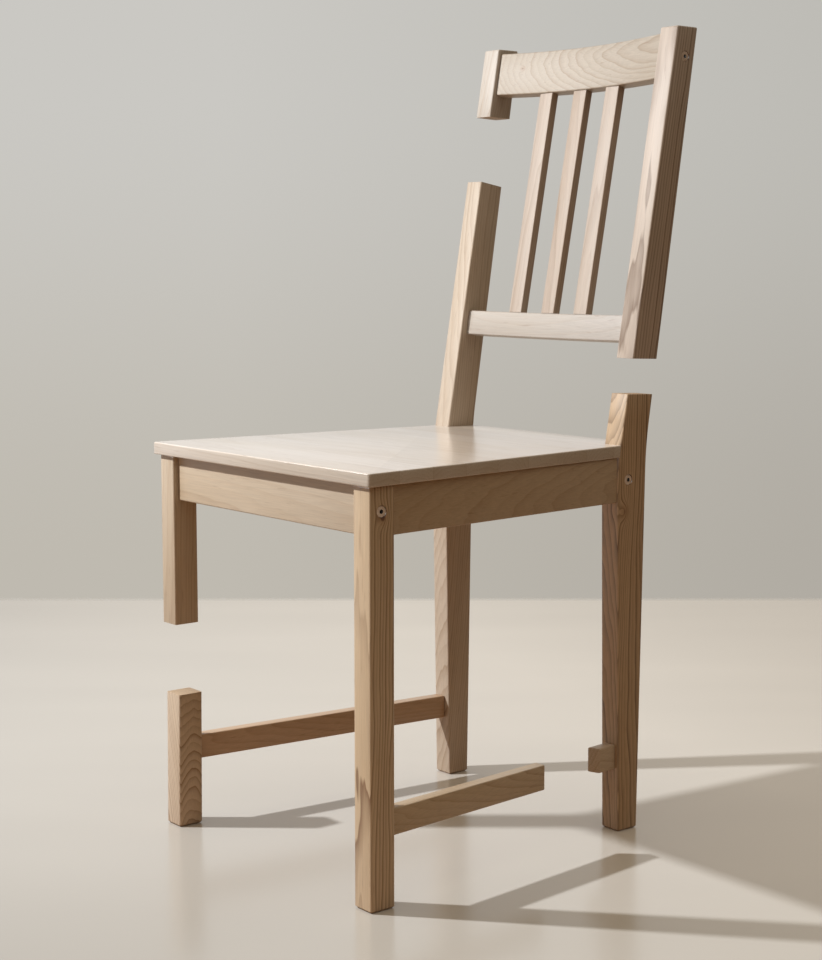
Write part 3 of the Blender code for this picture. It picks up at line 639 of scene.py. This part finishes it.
def fit_bolt(joint, pattern):
    """Set a bolt and drill its head hole and shank hole."""
    low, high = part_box(joint.name + "_bolt")
    middle = (low + high) / 2
    side = math.copysign(1, middle.x)
    head = Vector((high.x if side > 0 else low.x, middle.y, middle.z))
    inward = -side * ACROSS
    bolt = twin(pattern, joint.name + "_bolt_steel")
    length = pattern.dimensions.x
    open_up(bolt)
    pick(bolt, "VERT", lambda vertex: vertex.co.x > length - THREAD_LENGTH - WELD)
    bpy.ops.transform.translate(value=(high.x - low.x - length, 0, 0))
    put_down()
    bolt.location = head
    bolt.rotation_euler.z = math.pi if side > 0 else 0
    settle(bolt)
    STEEL[joint.name + "_bolt"] = bolt
    underside = head + inward * (HEAD_THICKNESS + FIT_GAP)
    drill(WOOD[joint.leg], HEAD_RADIUS + FIT_GAP, head - inward * HEAD_RADIUS, underside)
    tip = head + inward * (high.x - low.x + FIT_GAP)
    drill(WOOD[joint.leg], SHANK_RADIUS + FIT_GAP, head, tip)
    drill(WOOD[joint.rail], SHANK_RADIUS + FIT_GAP, head, tip)


def fit_barrel_nut(joint, pattern):
    """Set a barrel nut and drill the hole it went in by, from the rail's hidden face."""
    low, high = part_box(joint.name + "_barrel_nut")
    middle = (low + high) / 2
    outwards = Vector((0, math.cos(joint.nut_tilt), -math.sin(joint.nut_tilt)))
    if joint.rail == "rear_apron":
        outwards = -outwards
    nut = twin(pattern, joint.name + "_barrel_nut_steel")
    nut.location = middle
    nut.rotation_euler = outwards.to_track_quat("Z", "X").to_euler()
    settle(nut)
    STEEL[joint.name + "_barrel_nut"] = nut
    half = pattern.dimensions.z / 2
    drill(
        WOOD[joint.rail], NUT_RADIUS + FIT_GAP, middle - outwards * (half + FIT_GAP),
        middle + outwards * RAIL_THICKNESS)


def bore_for_dowels():
    """Drill every dowel's hole in the two pieces that it joins."""
    for name, hosts in DOWEL_HOSTS.items():
        low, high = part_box(name + "_dowel")
        middle = (low + high) / 2
        size = high - low
        axis = ACROSS if size.x > size.y else BACKWARDS
        reach = axis * (max(size) / 2 + FIT_GAP)
        for host in hosts:
            drill(WOOD[host], size.z / 2 + FIT_GAP, middle - reach, middle + reach)


def fit_seat_screws(pattern):
    """Set the screws that hold the seat, each up through a counterbored apron."""
    for end in ("front", "rear"):
        for side in ("left", "right"):
            name = "_".join(("seat", "screw", end, side))
            low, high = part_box(name)
            axis_point = (low + high) / 2
            head_top = low.z + SCREW_HEAD_THICKNESS
            screw = twin(pattern, name + "_steel")
            screw.location = (axis_point.x, axis_point.y, head_top)
            settle(screw)
            STEEL[name] = screw
            apron = WOOD[end + "_apron"]
            below = Vector((axis_point.x, axis_point.y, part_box("front_apron")[0].z - NUT_RADIUS))
            shoulder = Vector((axis_point.x, axis_point.y, head_top + FIT_GAP))
            tip = Vector((axis_point.x, axis_point.y, high.z + FIT_GAP))
            drill(apron, SCREW_HEAD_RADIUS + FIT_GAP, below, shoulder)
            drill(apron, SCREW_RADIUS + FIT_GAP, shoulder - UP * FIT_GAP, tip)
            drill(WOOD["seat"], SCREW_RADIUS + FIT_GAP, shoulder, tip)


def fit_steel():
    low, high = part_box("crest_right_bolt")
    bolt = first_bolt(high.x - low.x)
    nut = first_barrel_nut()
    for joint in BOLTED_JOINTS:
        fit_bolt(joint, bolt)
        fit_barrel_nut(joint, nut)
    screw = first_seat_screw()
    fit_seat_screws(screw)
    for pattern in (bolt, nut, screw):
        bpy.data.objects.remove(pattern, do_unlink=True)


def srgb(red, green, blue):
    """Colour as the shaders take it, from the everyday 0 to 255 values."""
    def linear(value):
        value /= 255
        return value / 12.92 if value <= 0.04045 else ((value + 0.055) / 1.055) ** 2.4
    return (linear(red), linear(green), linear(blue), 1)


def new_skin(name):
    """Start a material, and give it with its nodes and its shader."""
    skin = bpy.data.materials.new(name)
    skin.use_nodes = True
    return skin, skin.node_tree, skin.node_tree.nodes["Principled BSDF"]


def feed(tree, fed, sockets):
    """Feed a node's sockets from values or from other nodes."""
    for socket, value in sockets.items():
        if isinstance(value, bpy.types.NodeSocket):
            tree.links.new(value, fed.inputs[socket])
        else:
            fed.inputs[socket].default_value = value


def node(tree, kind, sockets=None, **settings):
    """Add a node, set its options and feed its sockets."""
    made = tree.nodes.new(kind)
    for name, value in settings.items():
        setattr(made, name, value)
    feed(tree, made, sockets or {})
    return made


def maths(tree, operation, first, second=0.0, third=0.0):
    step = node(tree, "ShaderNodeMath", {0: first, 1: second, 2: third}, operation=operation)
    return step.outputs[0]


def vector_maths(tree, operation, first, second=(0, 0, 0)):
    step = node(tree, "ShaderNodeVectorMath", {0: first, 1: second}, operation=operation)
    return step.outputs["Value" if operation in ("LENGTH", "DOT_PRODUCT") else 0]


def scaled(tree, vector, factor):
    step = node(tree, "ShaderNodeVectorMath", {0: vector, "Scale": factor}, operation="SCALE")
    return step.outputs[0]


def noise(tree, place, scale, detail=2.0, roughness=0.5):
    """Noise at a place, as a number and as a colour."""
    sockets = {"Vector": place, "Scale": scale, "Detail": detail, "Roughness": roughness}
    return node(tree, "ShaderNodeTexNoise", sockets).outputs


def chance(tree, number):
    """Random number and colour that belong to a whole number."""
    return node(tree, "ShaderNodeTexWhiteNoise", {"W": number}, noise_dimensions="1D").outputs


def spread(tree, value, low, high, new_low=0.0, new_high=1.0, kind="LINEAR"):
    """Map a range of values onto another, held at its ends."""
    step = node(
        tree, "ShaderNodeMapRange",
        {"Value": value, "From Min": low, "From Max": high, "To Min": new_low, "To Max": new_high},
        interpolation_type=kind)
    return step.outputs[0]


def blend_colours(tree, factor, first, second, blend_type="MIX"):
    step = node(
        tree, "ShaderNodeMix", {0: factor, 6: first, 7: second}, data_type="RGBA",
        blend_type=blend_type)
    return step.outputs[2]


def relief_normal(tree, height, strength, distance):
    """Surface direction of a fine relief."""
    step = node(
        tree, "ShaderNodeBump", {"Height": height, "Strength": strength, "Distance": distance})
    return step.outputs[0]


def object_place(tree):
    return tree.nodes.new("ShaderNodeTexCoord").outputs["Object"]


def marked(tree, name):
    """How far a face is marked by an attribute of the mesh."""
    return node(tree, "ShaderNodeAttribute", attribute_name=name).outputs["Fac"]


def ramp(tree, factor, stops):
    """Colour ramp from a list of places and greys."""
    step = node(tree, "ShaderNodeValToRGB", {"Fac": factor})
    elements = step.color_ramp.elements
    while len(elements) < len(stops):
        elements.new(0.5)
    for element, (place, grey) in zip(elements, stops):
        element.position = place
        element.color = (grey, grey, grey, 1)
    return step.outputs[0]


def timber_group():
    """Solid wood: growth rings round a pith line on Z, with fibres, flecks and one knot."""
    tree = bpy.data.node_groups.new("solid_pine", "ShaderNodeTree")
    sockets = (
        ("Place", "NodeSocketVector", (0, 0, 0)), ("Ring width", "NodeSocketFloat", 0.003),
        ("Figure", "NodeSocketFloat", 0.01), ("Contrast", "NodeSocketFloat", 0.5),
        ("Knot", "NodeSocketVector", (0, 0, 9)), ("Knot size", "NodeSocketFloat", 0.01),
        ("Early wood", "NodeSocketColor", srgb(205, 176, 138)),
        ("Late wood", "NodeSocketColor", srgb(166, 124, 84)))
    for name, kind, value in sockets:
        socket = tree.interface.new_socket(name, in_out="INPUT", socket_type=kind)
        socket.default_value = value
    for name, kind in (("Colour", "Color"), ("Fibre", "Float"), ("Relief", "Float")):
        tree.interface.new_socket(name, in_out="OUTPUT", socket_type="NodeSocket" + kind)
    given = tree.nodes.new("NodeGroupInput").outputs
    place = given["Place"]

    squashed = vector_maths(tree, "MULTIPLY", place, (1, 1, 0.16))
    wander = noise(tree, squashed, 16, 3)["Color"]
    wander = vector_maths(tree, "SUBTRACT", wander, (0.5, 0.5, 0.5))
    warped = vector_maths(tree, "ADD", place, scaled(tree, wander, given["Figure"]))
    radius = vector_maths(tree, "LENGTH", vector_maths(tree, "MULTIPLY", warped, (1, 1, 0)))

    from_knot = vector_maths(tree, "SUBTRACT", place, given["Knot"])
    from_knot = vector_maths(tree, "MULTIPLY", from_knot, (1, 1, 0.7))
    knot_share = maths(
        tree, "DIVIDE", vector_maths(tree, "LENGTH", from_knot), given["Knot size"])
    swell = maths(tree, "MULTIPLY", maths(tree, "POWER", knot_share, 2), -1)
    swell = maths(tree, "EXPONENT", swell)
    push = maths(tree, "MULTIPLY", given["Knot size"], 1.3)
    pushed = maths(tree, "MULTIPLY_ADD", swell, push, radius)

    count = maths(tree, "DIVIDE", pushed, given["Ring width"])
    count = maths(tree, "MULTIPLY_ADD", noise(tree, squashed, 55, 2)[0], 1.4, count)
    ring = maths(tree, "FRACT", count)
    late = ramp(tree, ring, ((0, 0.0), (0.35, 0.08), (0.78, 0.62), (0.93, 1.0), (1.0, 0.0)))
    year = chance(tree, maths(tree, "FLOOR", count))["Value"]
    late = maths(tree, "MULTIPLY", late, spread(tree, year, 0, 1, 0.35, 1.0))
    late = maths(tree, "MULTIPLY", late, given["Contrast"])

    drawn = vector_maths(tree, "MULTIPLY", place, (1, 1, 0.018))
    fibre = noise(tree, drawn, 900, 3, 0.6)[0]
    short = vector_maths(tree, "MULTIPLY", place, (1, 1, 0.09))
    fleck = spread(tree, noise(tree, short, 420, 1)[0], 0.66, 0.80)
    broad = vector_maths(tree, "MULTIPLY", place, (1, 1, 0.25))
    tone = spread(tree, noise(tree, broad, 11, 2)[0], 0.35, 0.65)

    colour = blend_colours(tree, late, given["Early wood"], given["Late wood"])
    warm = blend_colours(tree, tone, (0.96, 0.93, 0.88, 1), (1.05, 1.06, 1.08, 1))
    colour = blend_colours(tree, 1.0, colour, warm, "MULTIPLY")
    colour = scaled(tree, colour, spread(tree, fibre, 0.3, 0.7, 0.90, 1.07))
    colour = blend_colours(
        tree, maths(tree, "MULTIPLY", fleck, 0.28), colour, srgb(120, 82, 52))
    heart = spread(tree, knot_share, 0.30, 0.55, 0.85, 0.0, "SMOOTHSTEP")
    halo = spread(tree, knot_share, 0.4, 1.3, 0.30, 0.0, "SMOOTHSTEP")
    colour = blend_colours(tree, halo, colour, srgb(150, 104, 66))
    colour = blend_colours(tree, heart, colour, srgb(92, 56, 34))

    relief = maths(tree, "MULTIPLY_ADD", late, -0.5, maths(tree, "MULTIPLY", fibre, 0.6))
    node(tree, "NodeGroupOutput", {"Colour": colour, "Fibre": fibre, "Relief": relief})
    return tree


SOLID_PINE = timber_group()
STAVE_WIDTH = 0.048
STAVE_TURN = math.radians(91.2)
Timber = namedtuple(
    "Timber", "along pith lean ring figure contrast early late knot knot_size",
    defaults=((0, 0, 9), 0.01))


def rubbed_edges(tree, place, colour, bare):
    """Wear the rounded edges through to a paler colour, in patches."""
    rub = spread(tree, noise(tree, place, 60, 3)[0], 0.40, 0.62)
    wear = maths(tree, "MULTIPLY", marked(tree, "rounded"), rub)
    return blend_colours(tree, maths(tree, "MULTIPLY", wear, 0.7), colour, bare)


def pine(name, timber, centre):
    """Satin-varnished pine whose rings run round a pith line set for each piece."""
    skin, tree, shader = new_skin(name)
    along, pith = Vector(timber.along).normalized(), Vector(timber.pith)
    turn = (along + Vector(timber.lean)).to_track_quat("Z", "X")
    coordinates = tree.nodes.new("ShaderNodeTexCoord").outputs
    place = coordinates["Object"]
    mapping = node(
        tree, "ShaderNodeMapping",
        {"Vector": place, "Location": centre + pith, "Rotation": turn.to_euler()},
        vector_type="TEXTURE")
    wood = node(tree, "ShaderNodeGroup", {
        "Place": mapping.outputs[0], "Ring width": timber.ring, "Figure": timber.figure,
        "Contrast": timber.contrast, "Knot": turn.inverted() @ (Vector(timber.knot) - pith),
        "Knot size": timber.knot_size, "Early wood": srgb(*timber.early),
        "Late wood": srgb(*timber.late)}, node_tree=SOLID_PINE).outputs

    end = maths(tree, "ABSOLUTE", vector_maths(tree, "DOT_PRODUCT", coordinates["Normal"], along))
    end = spread(tree, end, 0.75, 0.92)
    pores = noise(tree, place, 1500, 2)[0]
    end_tint = blend_colours(
        tree, spread(tree, pores, 0.35, 0.65), (0.70, 0.63, 0.55, 1), (0.98, 0.93, 0.86, 1))
    end_colour = blend_colours(tree, 1.0, wood["Colour"], end_tint, "MULTIPLY")
    colour = blend_colours(tree, end, wood["Colour"], end_colour)
    gloss = spread(tree, wood["Fibre"], 0.3, 0.7, 0.34, 0.46)
    end_pores = maths(tree, "MULTIPLY", pores, end)
    height = maths(tree, "MULTIPLY_ADD", end_pores, 1.2, wood["Relief"])
    feed(tree, shader, {
        "Base Color": rubbed_edges(tree, place, colour, srgb(222, 200, 170)),
        "Roughness": maths(tree, "MULTIPLY_ADD", end, 0.30, gloss),
        "Normal": relief_normal(tree, height, 0.25, 0.0004),
        "IOR": 1.5, "Coat Weight": 0.12, "Coat Roughness": 0.28})
    return skin


TIMBERS = {
    "front_right_leg": Timber(
        (0, 0, 1), (0.002, 0.062, 0), (0.01, 0.02, 0), 0.0040, 0.020, 0.95,
        (206, 184, 156), (122, 86, 56), (0.014, 0.0005, 0.187), 0.007),
    "front_left_leg_stub": Timber(
        (0, 0, 1), (0.03, 0.06, 0), (0, 0.02, 0), 0.0036, 0.010, 0.5,
        (196, 179, 157), (156, 124, 94)),
    "front_left_leg_stump": Timber(
        (0, 0, 1), (-0.03, 0.0, 0), (-0.22, 0.0, 0), 0.0026, 0.010, 0.9,
        (204, 186, 165), (134, 100, 68)),
    "rear_left_post": Timber(
        (0, 0, 1), (0.03, 0.05, 0), (0.03, 0.12, 0), 0.0038, 0.016, 0.6,
        (199, 183, 165), (148, 118, 88)),
    "rear_left_post_stub": Timber(
        (0, 0.17, 1), (0.03, 0.05, 0), (0.03, 0.06, 0), 0.0038, 0.012, 0.5,
        (199, 190, 180), (166, 140, 114)),
    "rear_right_post_lower": Timber(
        (0, 0, 1), (-0.03, 0.045, 0), (0.06, 0.06, 0), 0.0034, 0.020, 1.0,
        (196, 168, 136), (96, 64, 38), (0.010, -0.016, 0.12), 0.008),
    "rear_right_post_upper": Timber(
        (0, 0.17, 1), (-0.006, 0.09, 0), (0.0, 0.0, 0), 0.0044, 0.022, 1.0,
        (207, 192, 179), (106, 76, 52)),
    "front_apron": Timber(
        (1, 0, 0), (0, 0.07, -0.03), (0, 0.02, 0.01), 0.0040, 0.010, 0.4,
        (197, 181, 160), (170, 142, 114)),
    "rear_apron": Timber(
        (1, 0, 0), (0, 0.06, 0.03), (0, 0.02, 0.02), 0.0040, 0.012, 0.5,
        (198, 178, 152), (158, 124, 92)),
    "left_apron": Timber(
        (0, 1, 0), (0.06, 0, 0.02), (0.03, 0, 0.02), 0.0040, 0.012, 0.5,
        (198, 178, 152), (158, 124, 92)),
    "right_apron": Timber(
        (0, 1, 0), (-0.07, 0, -0.02), (0.04, 0, 0.01), 0.0045, 0.012, 0.4,
        (192, 171, 145), (156, 124, 92)),
    "left_stretcher": Timber(
        (0, 1, 0), (0.05, 0, 0.02), (0.02, 0, 0.02), 0.0032, 0.010, 0.4,
        (196, 168, 140), (154, 114, 84)),
    "right_stretcher_front": Timber(
        (0, 1, 0), (-0.05, 0, 0.03), (0.02, 0, 0.02), 0.0034, 0.012, 0.5,
        (196, 176, 150), (150, 116, 84)),
    "right_stretcher_stub": Timber(
        (0, 1, 0), (-0.05, 0, 0.03), (0.02, 0, 0.02), 0.0034, 0.012, 0.5,
        (200, 182, 160), (158, 126, 96)),
    "crest_rail": Timber(
        (1, 0, 0), (0, 0.045, 0.006), (0, -0.24, 0.05), 0.0036, 0.014, 0.6,
        (184, 173, 160), (146, 120, 94), (-0.10, -0.010, 0.008), 0.004),
    "lower_back_rail": Timber(
        (1, 0, 0), (0, 0.05, 0.02), (0, 0.02, 0.01), 0.0034, 0.008, 0.3,
        (189, 181, 174), (167, 148, 130)),
    "slat_1": Timber(
        (0, 0.2, 1), (0.02, 0.05, 0), (0, 0.01, 0), 0.0030, 0.008, 0.5,
        (188, 172, 158), (148, 124, 102)),
    "slat_2": Timber(
        (0, 0.2, 1), (-0.02, 0.05, 0), (0, 0.02, 0), 0.0032, 0.008, 0.5,
        (186, 169, 155), (146, 121, 99)),
    "slat_3": Timber(
        (0, 0.2, 1), (0.01, 0.06, 0), (0, 0.01, 0), 0.0034, 0.008, 0.5,
        (188, 172, 158), (148, 124, 102))}


def glued_panel(name):
    """Seat panel: narrow staves side by side, each cut from wood of its own."""
    skin, tree, shader = new_skin(name)
    coordinates = tree.nodes.new("ShaderNodeTexCoord").outputs
    place = coordinates["Object"]
    position = node(tree, "ShaderNodeSeparateXYZ", {0: place}).outputs
    stave = maths(tree, "DIVIDE", maths(tree, "ADD", position["Y"], 0.5), STAVE_WIDTH)
    own = chance(tree, maths(tree, "FLOOR", stave))
    shifted = vector_maths(tree, "SUBTRACT", own["Color"], (0.5, 0.5, 0.5))
    shifted = vector_maths(tree, "MULTIPLY", shifted, (0.6, 0.03, 0.10))
    shifted = vector_maths(tree, "ADD", shifted, (0, 0, 0.07))
    from_middle = maths(tree, "SUBTRACT", maths(tree, "FRACT", stave), 0.5)
    local = node(tree, "ShaderNodeCombineXYZ", {
        "X": position["X"], "Y": maths(tree, "MULTIPLY", from_middle, STAVE_WIDTH),
        "Z": maths(tree, "SUBTRACT", position["Z"], SEAT_TOP)}).outputs[0]
    mapping = node(
        tree, "ShaderNodeMapping",
        {"Vector": vector_maths(tree, "ADD", local, shifted), "Rotation": (0, STAVE_TURN, 0)},
        vector_type="TEXTURE")
    wood = node(tree, "ShaderNodeGroup", {
        "Place": mapping.outputs[0], "Ring width": 0.0042, "Figure": 0.014, "Contrast": 0.40,
        "Early wood": srgb(220, 209, 197), "Late wood": srgb(190, 168, 146)},
        node_tree=SOLID_PINE).outputs

    tint = blend_colours(tree, own["Value"], (0.90, 0.87, 0.82, 1), (1.03, 1.03, 1.02, 1))
    colour = blend_colours(tree, 1.0, wood["Colour"], tint, "MULTIPLY")
    # Painted light and shade: faces that lie flat, the seat top above all, are lightened and cooled
    # as a painted sheen, and the upright edges are darkened as painted shade.
    flat = maths(tree, "ABSOLUTE", vector_maths(tree, "DOT_PRODUCT", coordinates["Normal"], UP))
    painted_flat_light = blend_colours(
        tree, spread(tree, flat, 0.3, 0.8), (0.85, 0.85, 0.86, 1), (1.08, 1.10, 1.17, 1))
    colour = blend_colours(tree, 1.0, colour, painted_flat_light, "MULTIPLY")
    seam = spread(tree, maths(tree, "ABSOLUTE", from_middle), 0.493, 0.499)
    colour = blend_colours(tree, maths(tree, "MULTIPLY", seam, 0.35), colour, srgb(130, 92, 60))
    feed(tree, shader, {
        "Base Color": rubbed_edges(tree, place, colour, srgb(226, 205, 178)),
        "Roughness": spread(tree, wood["Fibre"], 0.3, 0.7, 0.30, 0.42),
        "Normal": relief_normal(tree, wood["Relief"], 0.18, 0.0004),
        "IOR": 1.5, "Coat Weight": 1.0, "Coat Roughness": 0.20})
    return skin


def zinc_steel():
    """Dull zinc-plated steel with fine turning marks and patches, and painted shade darkening the
    hex sockets.
    """
    skin, tree, shader = new_skin("zinc_plated_steel")
    place = object_place(tree)
    patches = noise(tree, place, 420, 3)[0]
    scratches = noise(tree, vector_maths(tree, "MULTIPLY", place, (1, 0.08, 1)), 5200, 2)[0]
    colour = blend_colours(
        tree, spread(tree, patches, 0.35, 0.65), srgb(222, 202, 188), srgb(238, 222, 208))
    feed(tree, shader, {
        # Painted shade: faces marked as the socket recess are darkened to a near-black brown.
        "Base Color": blend_colours(tree, marked(tree, "recess"), colour, srgb(46, 38, 32)),
        "Roughness": spread(tree, patches, 0.3, 0.7, 0.38, 0.50),
        "Normal": relief_normal(tree, scratches, 0.06, 0.0001), "Metallic": 0.25})
    return skin


def dowel_wood():
    """Dry beech dowel, with fine grain and a blotchy tone."""
    skin, tree, shader = new_skin("dowel_wood")
    place = object_place(tree)
    fibre = noise(tree, place, 900, 3)[0]
    tone = noise(tree, place, 60, 2)[0]
    colour = blend_colours(
        tree, spread(tree, fibre, 0.3, 0.7), srgb(176, 136, 98), srgb(206, 170, 130))
    blotch = spread(tree, tone, 0.4, 0.6, 0, 0.3)
    feed(tree, shader, {
        "Base Color": blend_colours(tree, blotch, colour, srgb(160, 118, 82)),
        "Roughness": spread(tree, fibre, 0.3, 0.7, 0.55, 0.75),
        "Normal": relief_normal(tree, fibre, 0.4, 0.0003)})
    return skin


def mark_rounded_strips(piece):
    """Turn the rounding's second slot into a mark on the faces, so that one material serves all."""
    strips = piece.data.attributes.new("rounded", "FLOAT", "FACE")
    for polygon, strip in zip(piece.data.polygons, strips.data):
        strip.value = 1.0 if polygon.material_index == 1 else 0.0
        polygon.material_index = 0


def put_on(piece, skin):
    """Give a piece its one material, and shade its rounded edges smoothly."""
    take_up(piece)
    bpy.ops.object.shade_smooth_by_angle(angle=SHARP_ANGLE)
    piece.data.materials.clear()
    piece.data.materials.append(skin)


def dress_wood():
    for node_name, piece in WOOD.items():
        mark_rounded_strips(piece)
        if node_name == "seat":
            put_on(piece, glued_panel("seat_pine"))
        else:
            low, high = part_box(node_name)
            put_on(piece, pine(node_name + "_pine", TIMBERS[node_name], (low + high) / 2))
        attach(piece, "root")
        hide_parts(node_name)


def dress_steel():
    steel = zinc_steel()
    for node_name, piece in STEEL.items():
        put_on(piece, steel)
        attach(piece, "root")
        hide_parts(node_name)


def dress_dowels():
    skin = dowel_wood()
    for name in DOWEL_HOSTS:
        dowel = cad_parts[name + "_dowel"]
        for slot in dowel.material_slots:
            slot.material = skin


# Studio: the camera, the lamps, the floor and the backdrop
CAMERA_PLACE = Vector((1.60194, -1.32428, 0.65647))
CAMERA_YAW = math.radians(51.18)
CAMERA_PITCH = math.radians(83.12)
CAMERA_LENS = 68.04
LAMP_PLACE = (-1.108, -1.391)
LAMP_AIM = Vector((0, 0, 0.35))
BRIGHT_SIDE = Vector((-0.72, -0.42, 0.55)).normalized()
FLOOR_REACH = 1.44
FLOOR_FADE = 0.05


def make_camera():
    eye = bpy.data.cameras.new("camera")
    eye.sensor_width = 36
    eye.lens = CAMERA_LENS
    eye.clip_start = 0.05
    camera = bpy.data.objects.new("camera", eye)
    camera.location = CAMERA_PLACE
    camera.rotation_euler = (CAMERA_PITCH, 0, CAMERA_YAW)
    bpy.context.scene.collection.objects.link(camera)
    bpy.context.scene.camera = camera


def make_lamp(name, height, size, power):
    """Round lamp to the left of the camera, aimed at the chair."""
    light = bpy.data.lights.new(name, "AREA")
    light.shape = "DISK"
    light.size = size
    light.energy = power
    light.color = (0.97, 0.99, 1.0)
    lamp = bpy.data.objects.new(name, light)
    lamp.location = (*LAMP_PLACE, height)
    lamp.rotation_euler = (LAMP_AIM - lamp.location).to_track_quat("-Z", "Y").to_euler()
    bpy.context.scene.collection.objects.link(lamp)
    return lamp


def make_lamps():
    """Lamp that lights the wood, and a wide dim panel that only shows as its soft sheen."""
    make_lamp("key_lamp", height=1.63, size=0.08, power=54).visible_glossy = False
    panel = make_lamp("sheen_panel", height=1.45, size=1.1, power=25)
    panel.visible_diffuse = False
    panel.data.use_shadow = False


def make_world():
    """Grey backdrop that the camera sees, and soft light that is dim and warm from the right."""
    world = bpy.data.worlds.new("studio")
    bpy.context.scene.world = world
    world.use_nodes = True
    tree = world.node_tree
    background = tree.nodes["Background"]
    direction = tree.nodes.new("ShaderNodeTexCoord").outputs["Generated"]
    rise = node(tree, "ShaderNodeSeparateXYZ", {0: direction}).outputs["Z"]
    # Painted light and shade on the backdrop: lighter towards the top and the left, darker towards
    # the bottom and the right.
    height = spread(tree, rise, -0.17, 0.10, kind="SMOOTHSTEP")
    left = blend_colours(tree, height, srgb(191, 186, 176), srgb(202, 200, 195))
    right = blend_colours(tree, height, srgb(177, 172, 163), srgb(190, 188, 182))
    side = vector_maths(
        tree, "DOT_PRODUCT", direction, (math.cos(CAMERA_YAW), math.sin(CAMERA_YAW), 0))
    wall = blend_colours(tree, spread(tree, side, -0.10, 0.21), left, right)
    bright_side = vector_maths(tree, "DOT_PRODUCT", direction, BRIGHT_SIDE)
    brightness = spread(tree, bright_side, -0.75, 0.75, kind="SMOOTHSTEP")
    overhead = spread(tree, rise, 0.15, 0.75, kind="SMOOTHSTEP")
    fill = blend_colours(tree, overhead, srgb(36, 25, 18), srgb(208, 194, 172))
    mirrored = blend_colours(tree, brightness, srgb(100, 84, 68), srgb(232, 232, 232))
    ahead = vector_maths(
        tree, "DOT_PRODUCT", direction, (-math.sin(CAMERA_YAW), math.cos(CAMERA_YAW), 0))
    low_wall = maths(
        tree, "MULTIPLY", spread(tree, ahead, 0.70, 0.95), spread(tree, rise, 0.03, 0.25, 1, 0))
    mirrored = blend_colours(tree, low_wall, mirrored, wall)
    ray = tree.nodes.new("ShaderNodeLightPath").outputs
    colour = blend_colours(tree, ray["Is Glossy Ray"], fill, mirrored)
    seen = maths(tree, "MAXIMUM", ray["Is Camera Ray"], ray["Is Transmission Ray"])
    colour = blend_colours(tree, seen, colour, wall)
    feed(tree, background, {"Color": colour, "Strength": 1.0})


def make_floor():
    """Pale floor square to the camera, faintly glossy, whose border fades into the backdrop."""
    bpy.ops.object.select_all(action="DESELECT")
    bpy.ops.mesh.primitive_plane_add(size=2 * FLOOR_REACH, rotation=(0, 0, CAMERA_YAW))
    floor = call_it(bpy.context.object, "studio_floor")
    skin, tree, shader = new_skin("studio_floor")
    place = object_place(tree)
    tone = noise(tree, vector_maths(tree, "MULTIPLY", place, (0.5, 2.2, 1)), 1.6, 2)[0]
    pale = blend_colours(
        tree, spread(tree, tone, 0.35, 0.65), srgb(211, 206, 199), srgb(216, 211, 204))
    # Painted light and shade: the floor is darkened towards the left, where the lamp stands, and
    # lightened towards the right and back, against the lamp's falloff.
    painted_falloff = vector_maths(tree, "DOT_PRODUCT", place, (0.50, 0.22, 0))
    pale = scaled(tree, pale, spread(tree, painted_falloff, -0.36, 0.25, 0.59, 1.17))
    ray = tree.nodes.new("ShaderNodeLightPath").outputs
    seen = maths(tree, "MAXIMUM", ray["Is Camera Ray"], ray["Is Glossy Ray"])
    feed(tree, shader, {
        "Base Color": blend_colours(tree, seen, srgb(161, 124, 88), pale),
        "Roughness": 0.20, "IOR": 1.45})
    from_middle = vector_maths(tree, "ABSOLUTE", place)
    position = node(tree, "ShaderNodeSeparateXYZ", {0: from_middle}).outputs
    edge = maths(tree, "MAXIMUM", position["X"], position["Y"])
    solid = spread(tree, edge, FLOOR_REACH - FLOOR_FADE, FLOOR_REACH, 1, 0, "SMOOTHSTEP")
    clear = tree.nodes.new("ShaderNodeBsdfTransparent")
    mixed = node(
        tree, "ShaderNodeMixShader",
        {0: solid, 1: clear.outputs[0], 2: shader.outputs[0]})
    tree.links.new(mixed.outputs[0], tree.nodes["Material Output"].inputs["Surface"])
    floor.data.materials.append(skin)


make_front_legs()
make_posts()
make_aprons()
make_stretchers()
make_seat()
make_back()
fit_steel()
bore_for_dowels()
dress_wood()
dress_steel()
dress_dowels()
make_camera()
make_lamps()
make_world()
make_floor()
bpy.context.scene.view_settings.view_transform = "Standard"
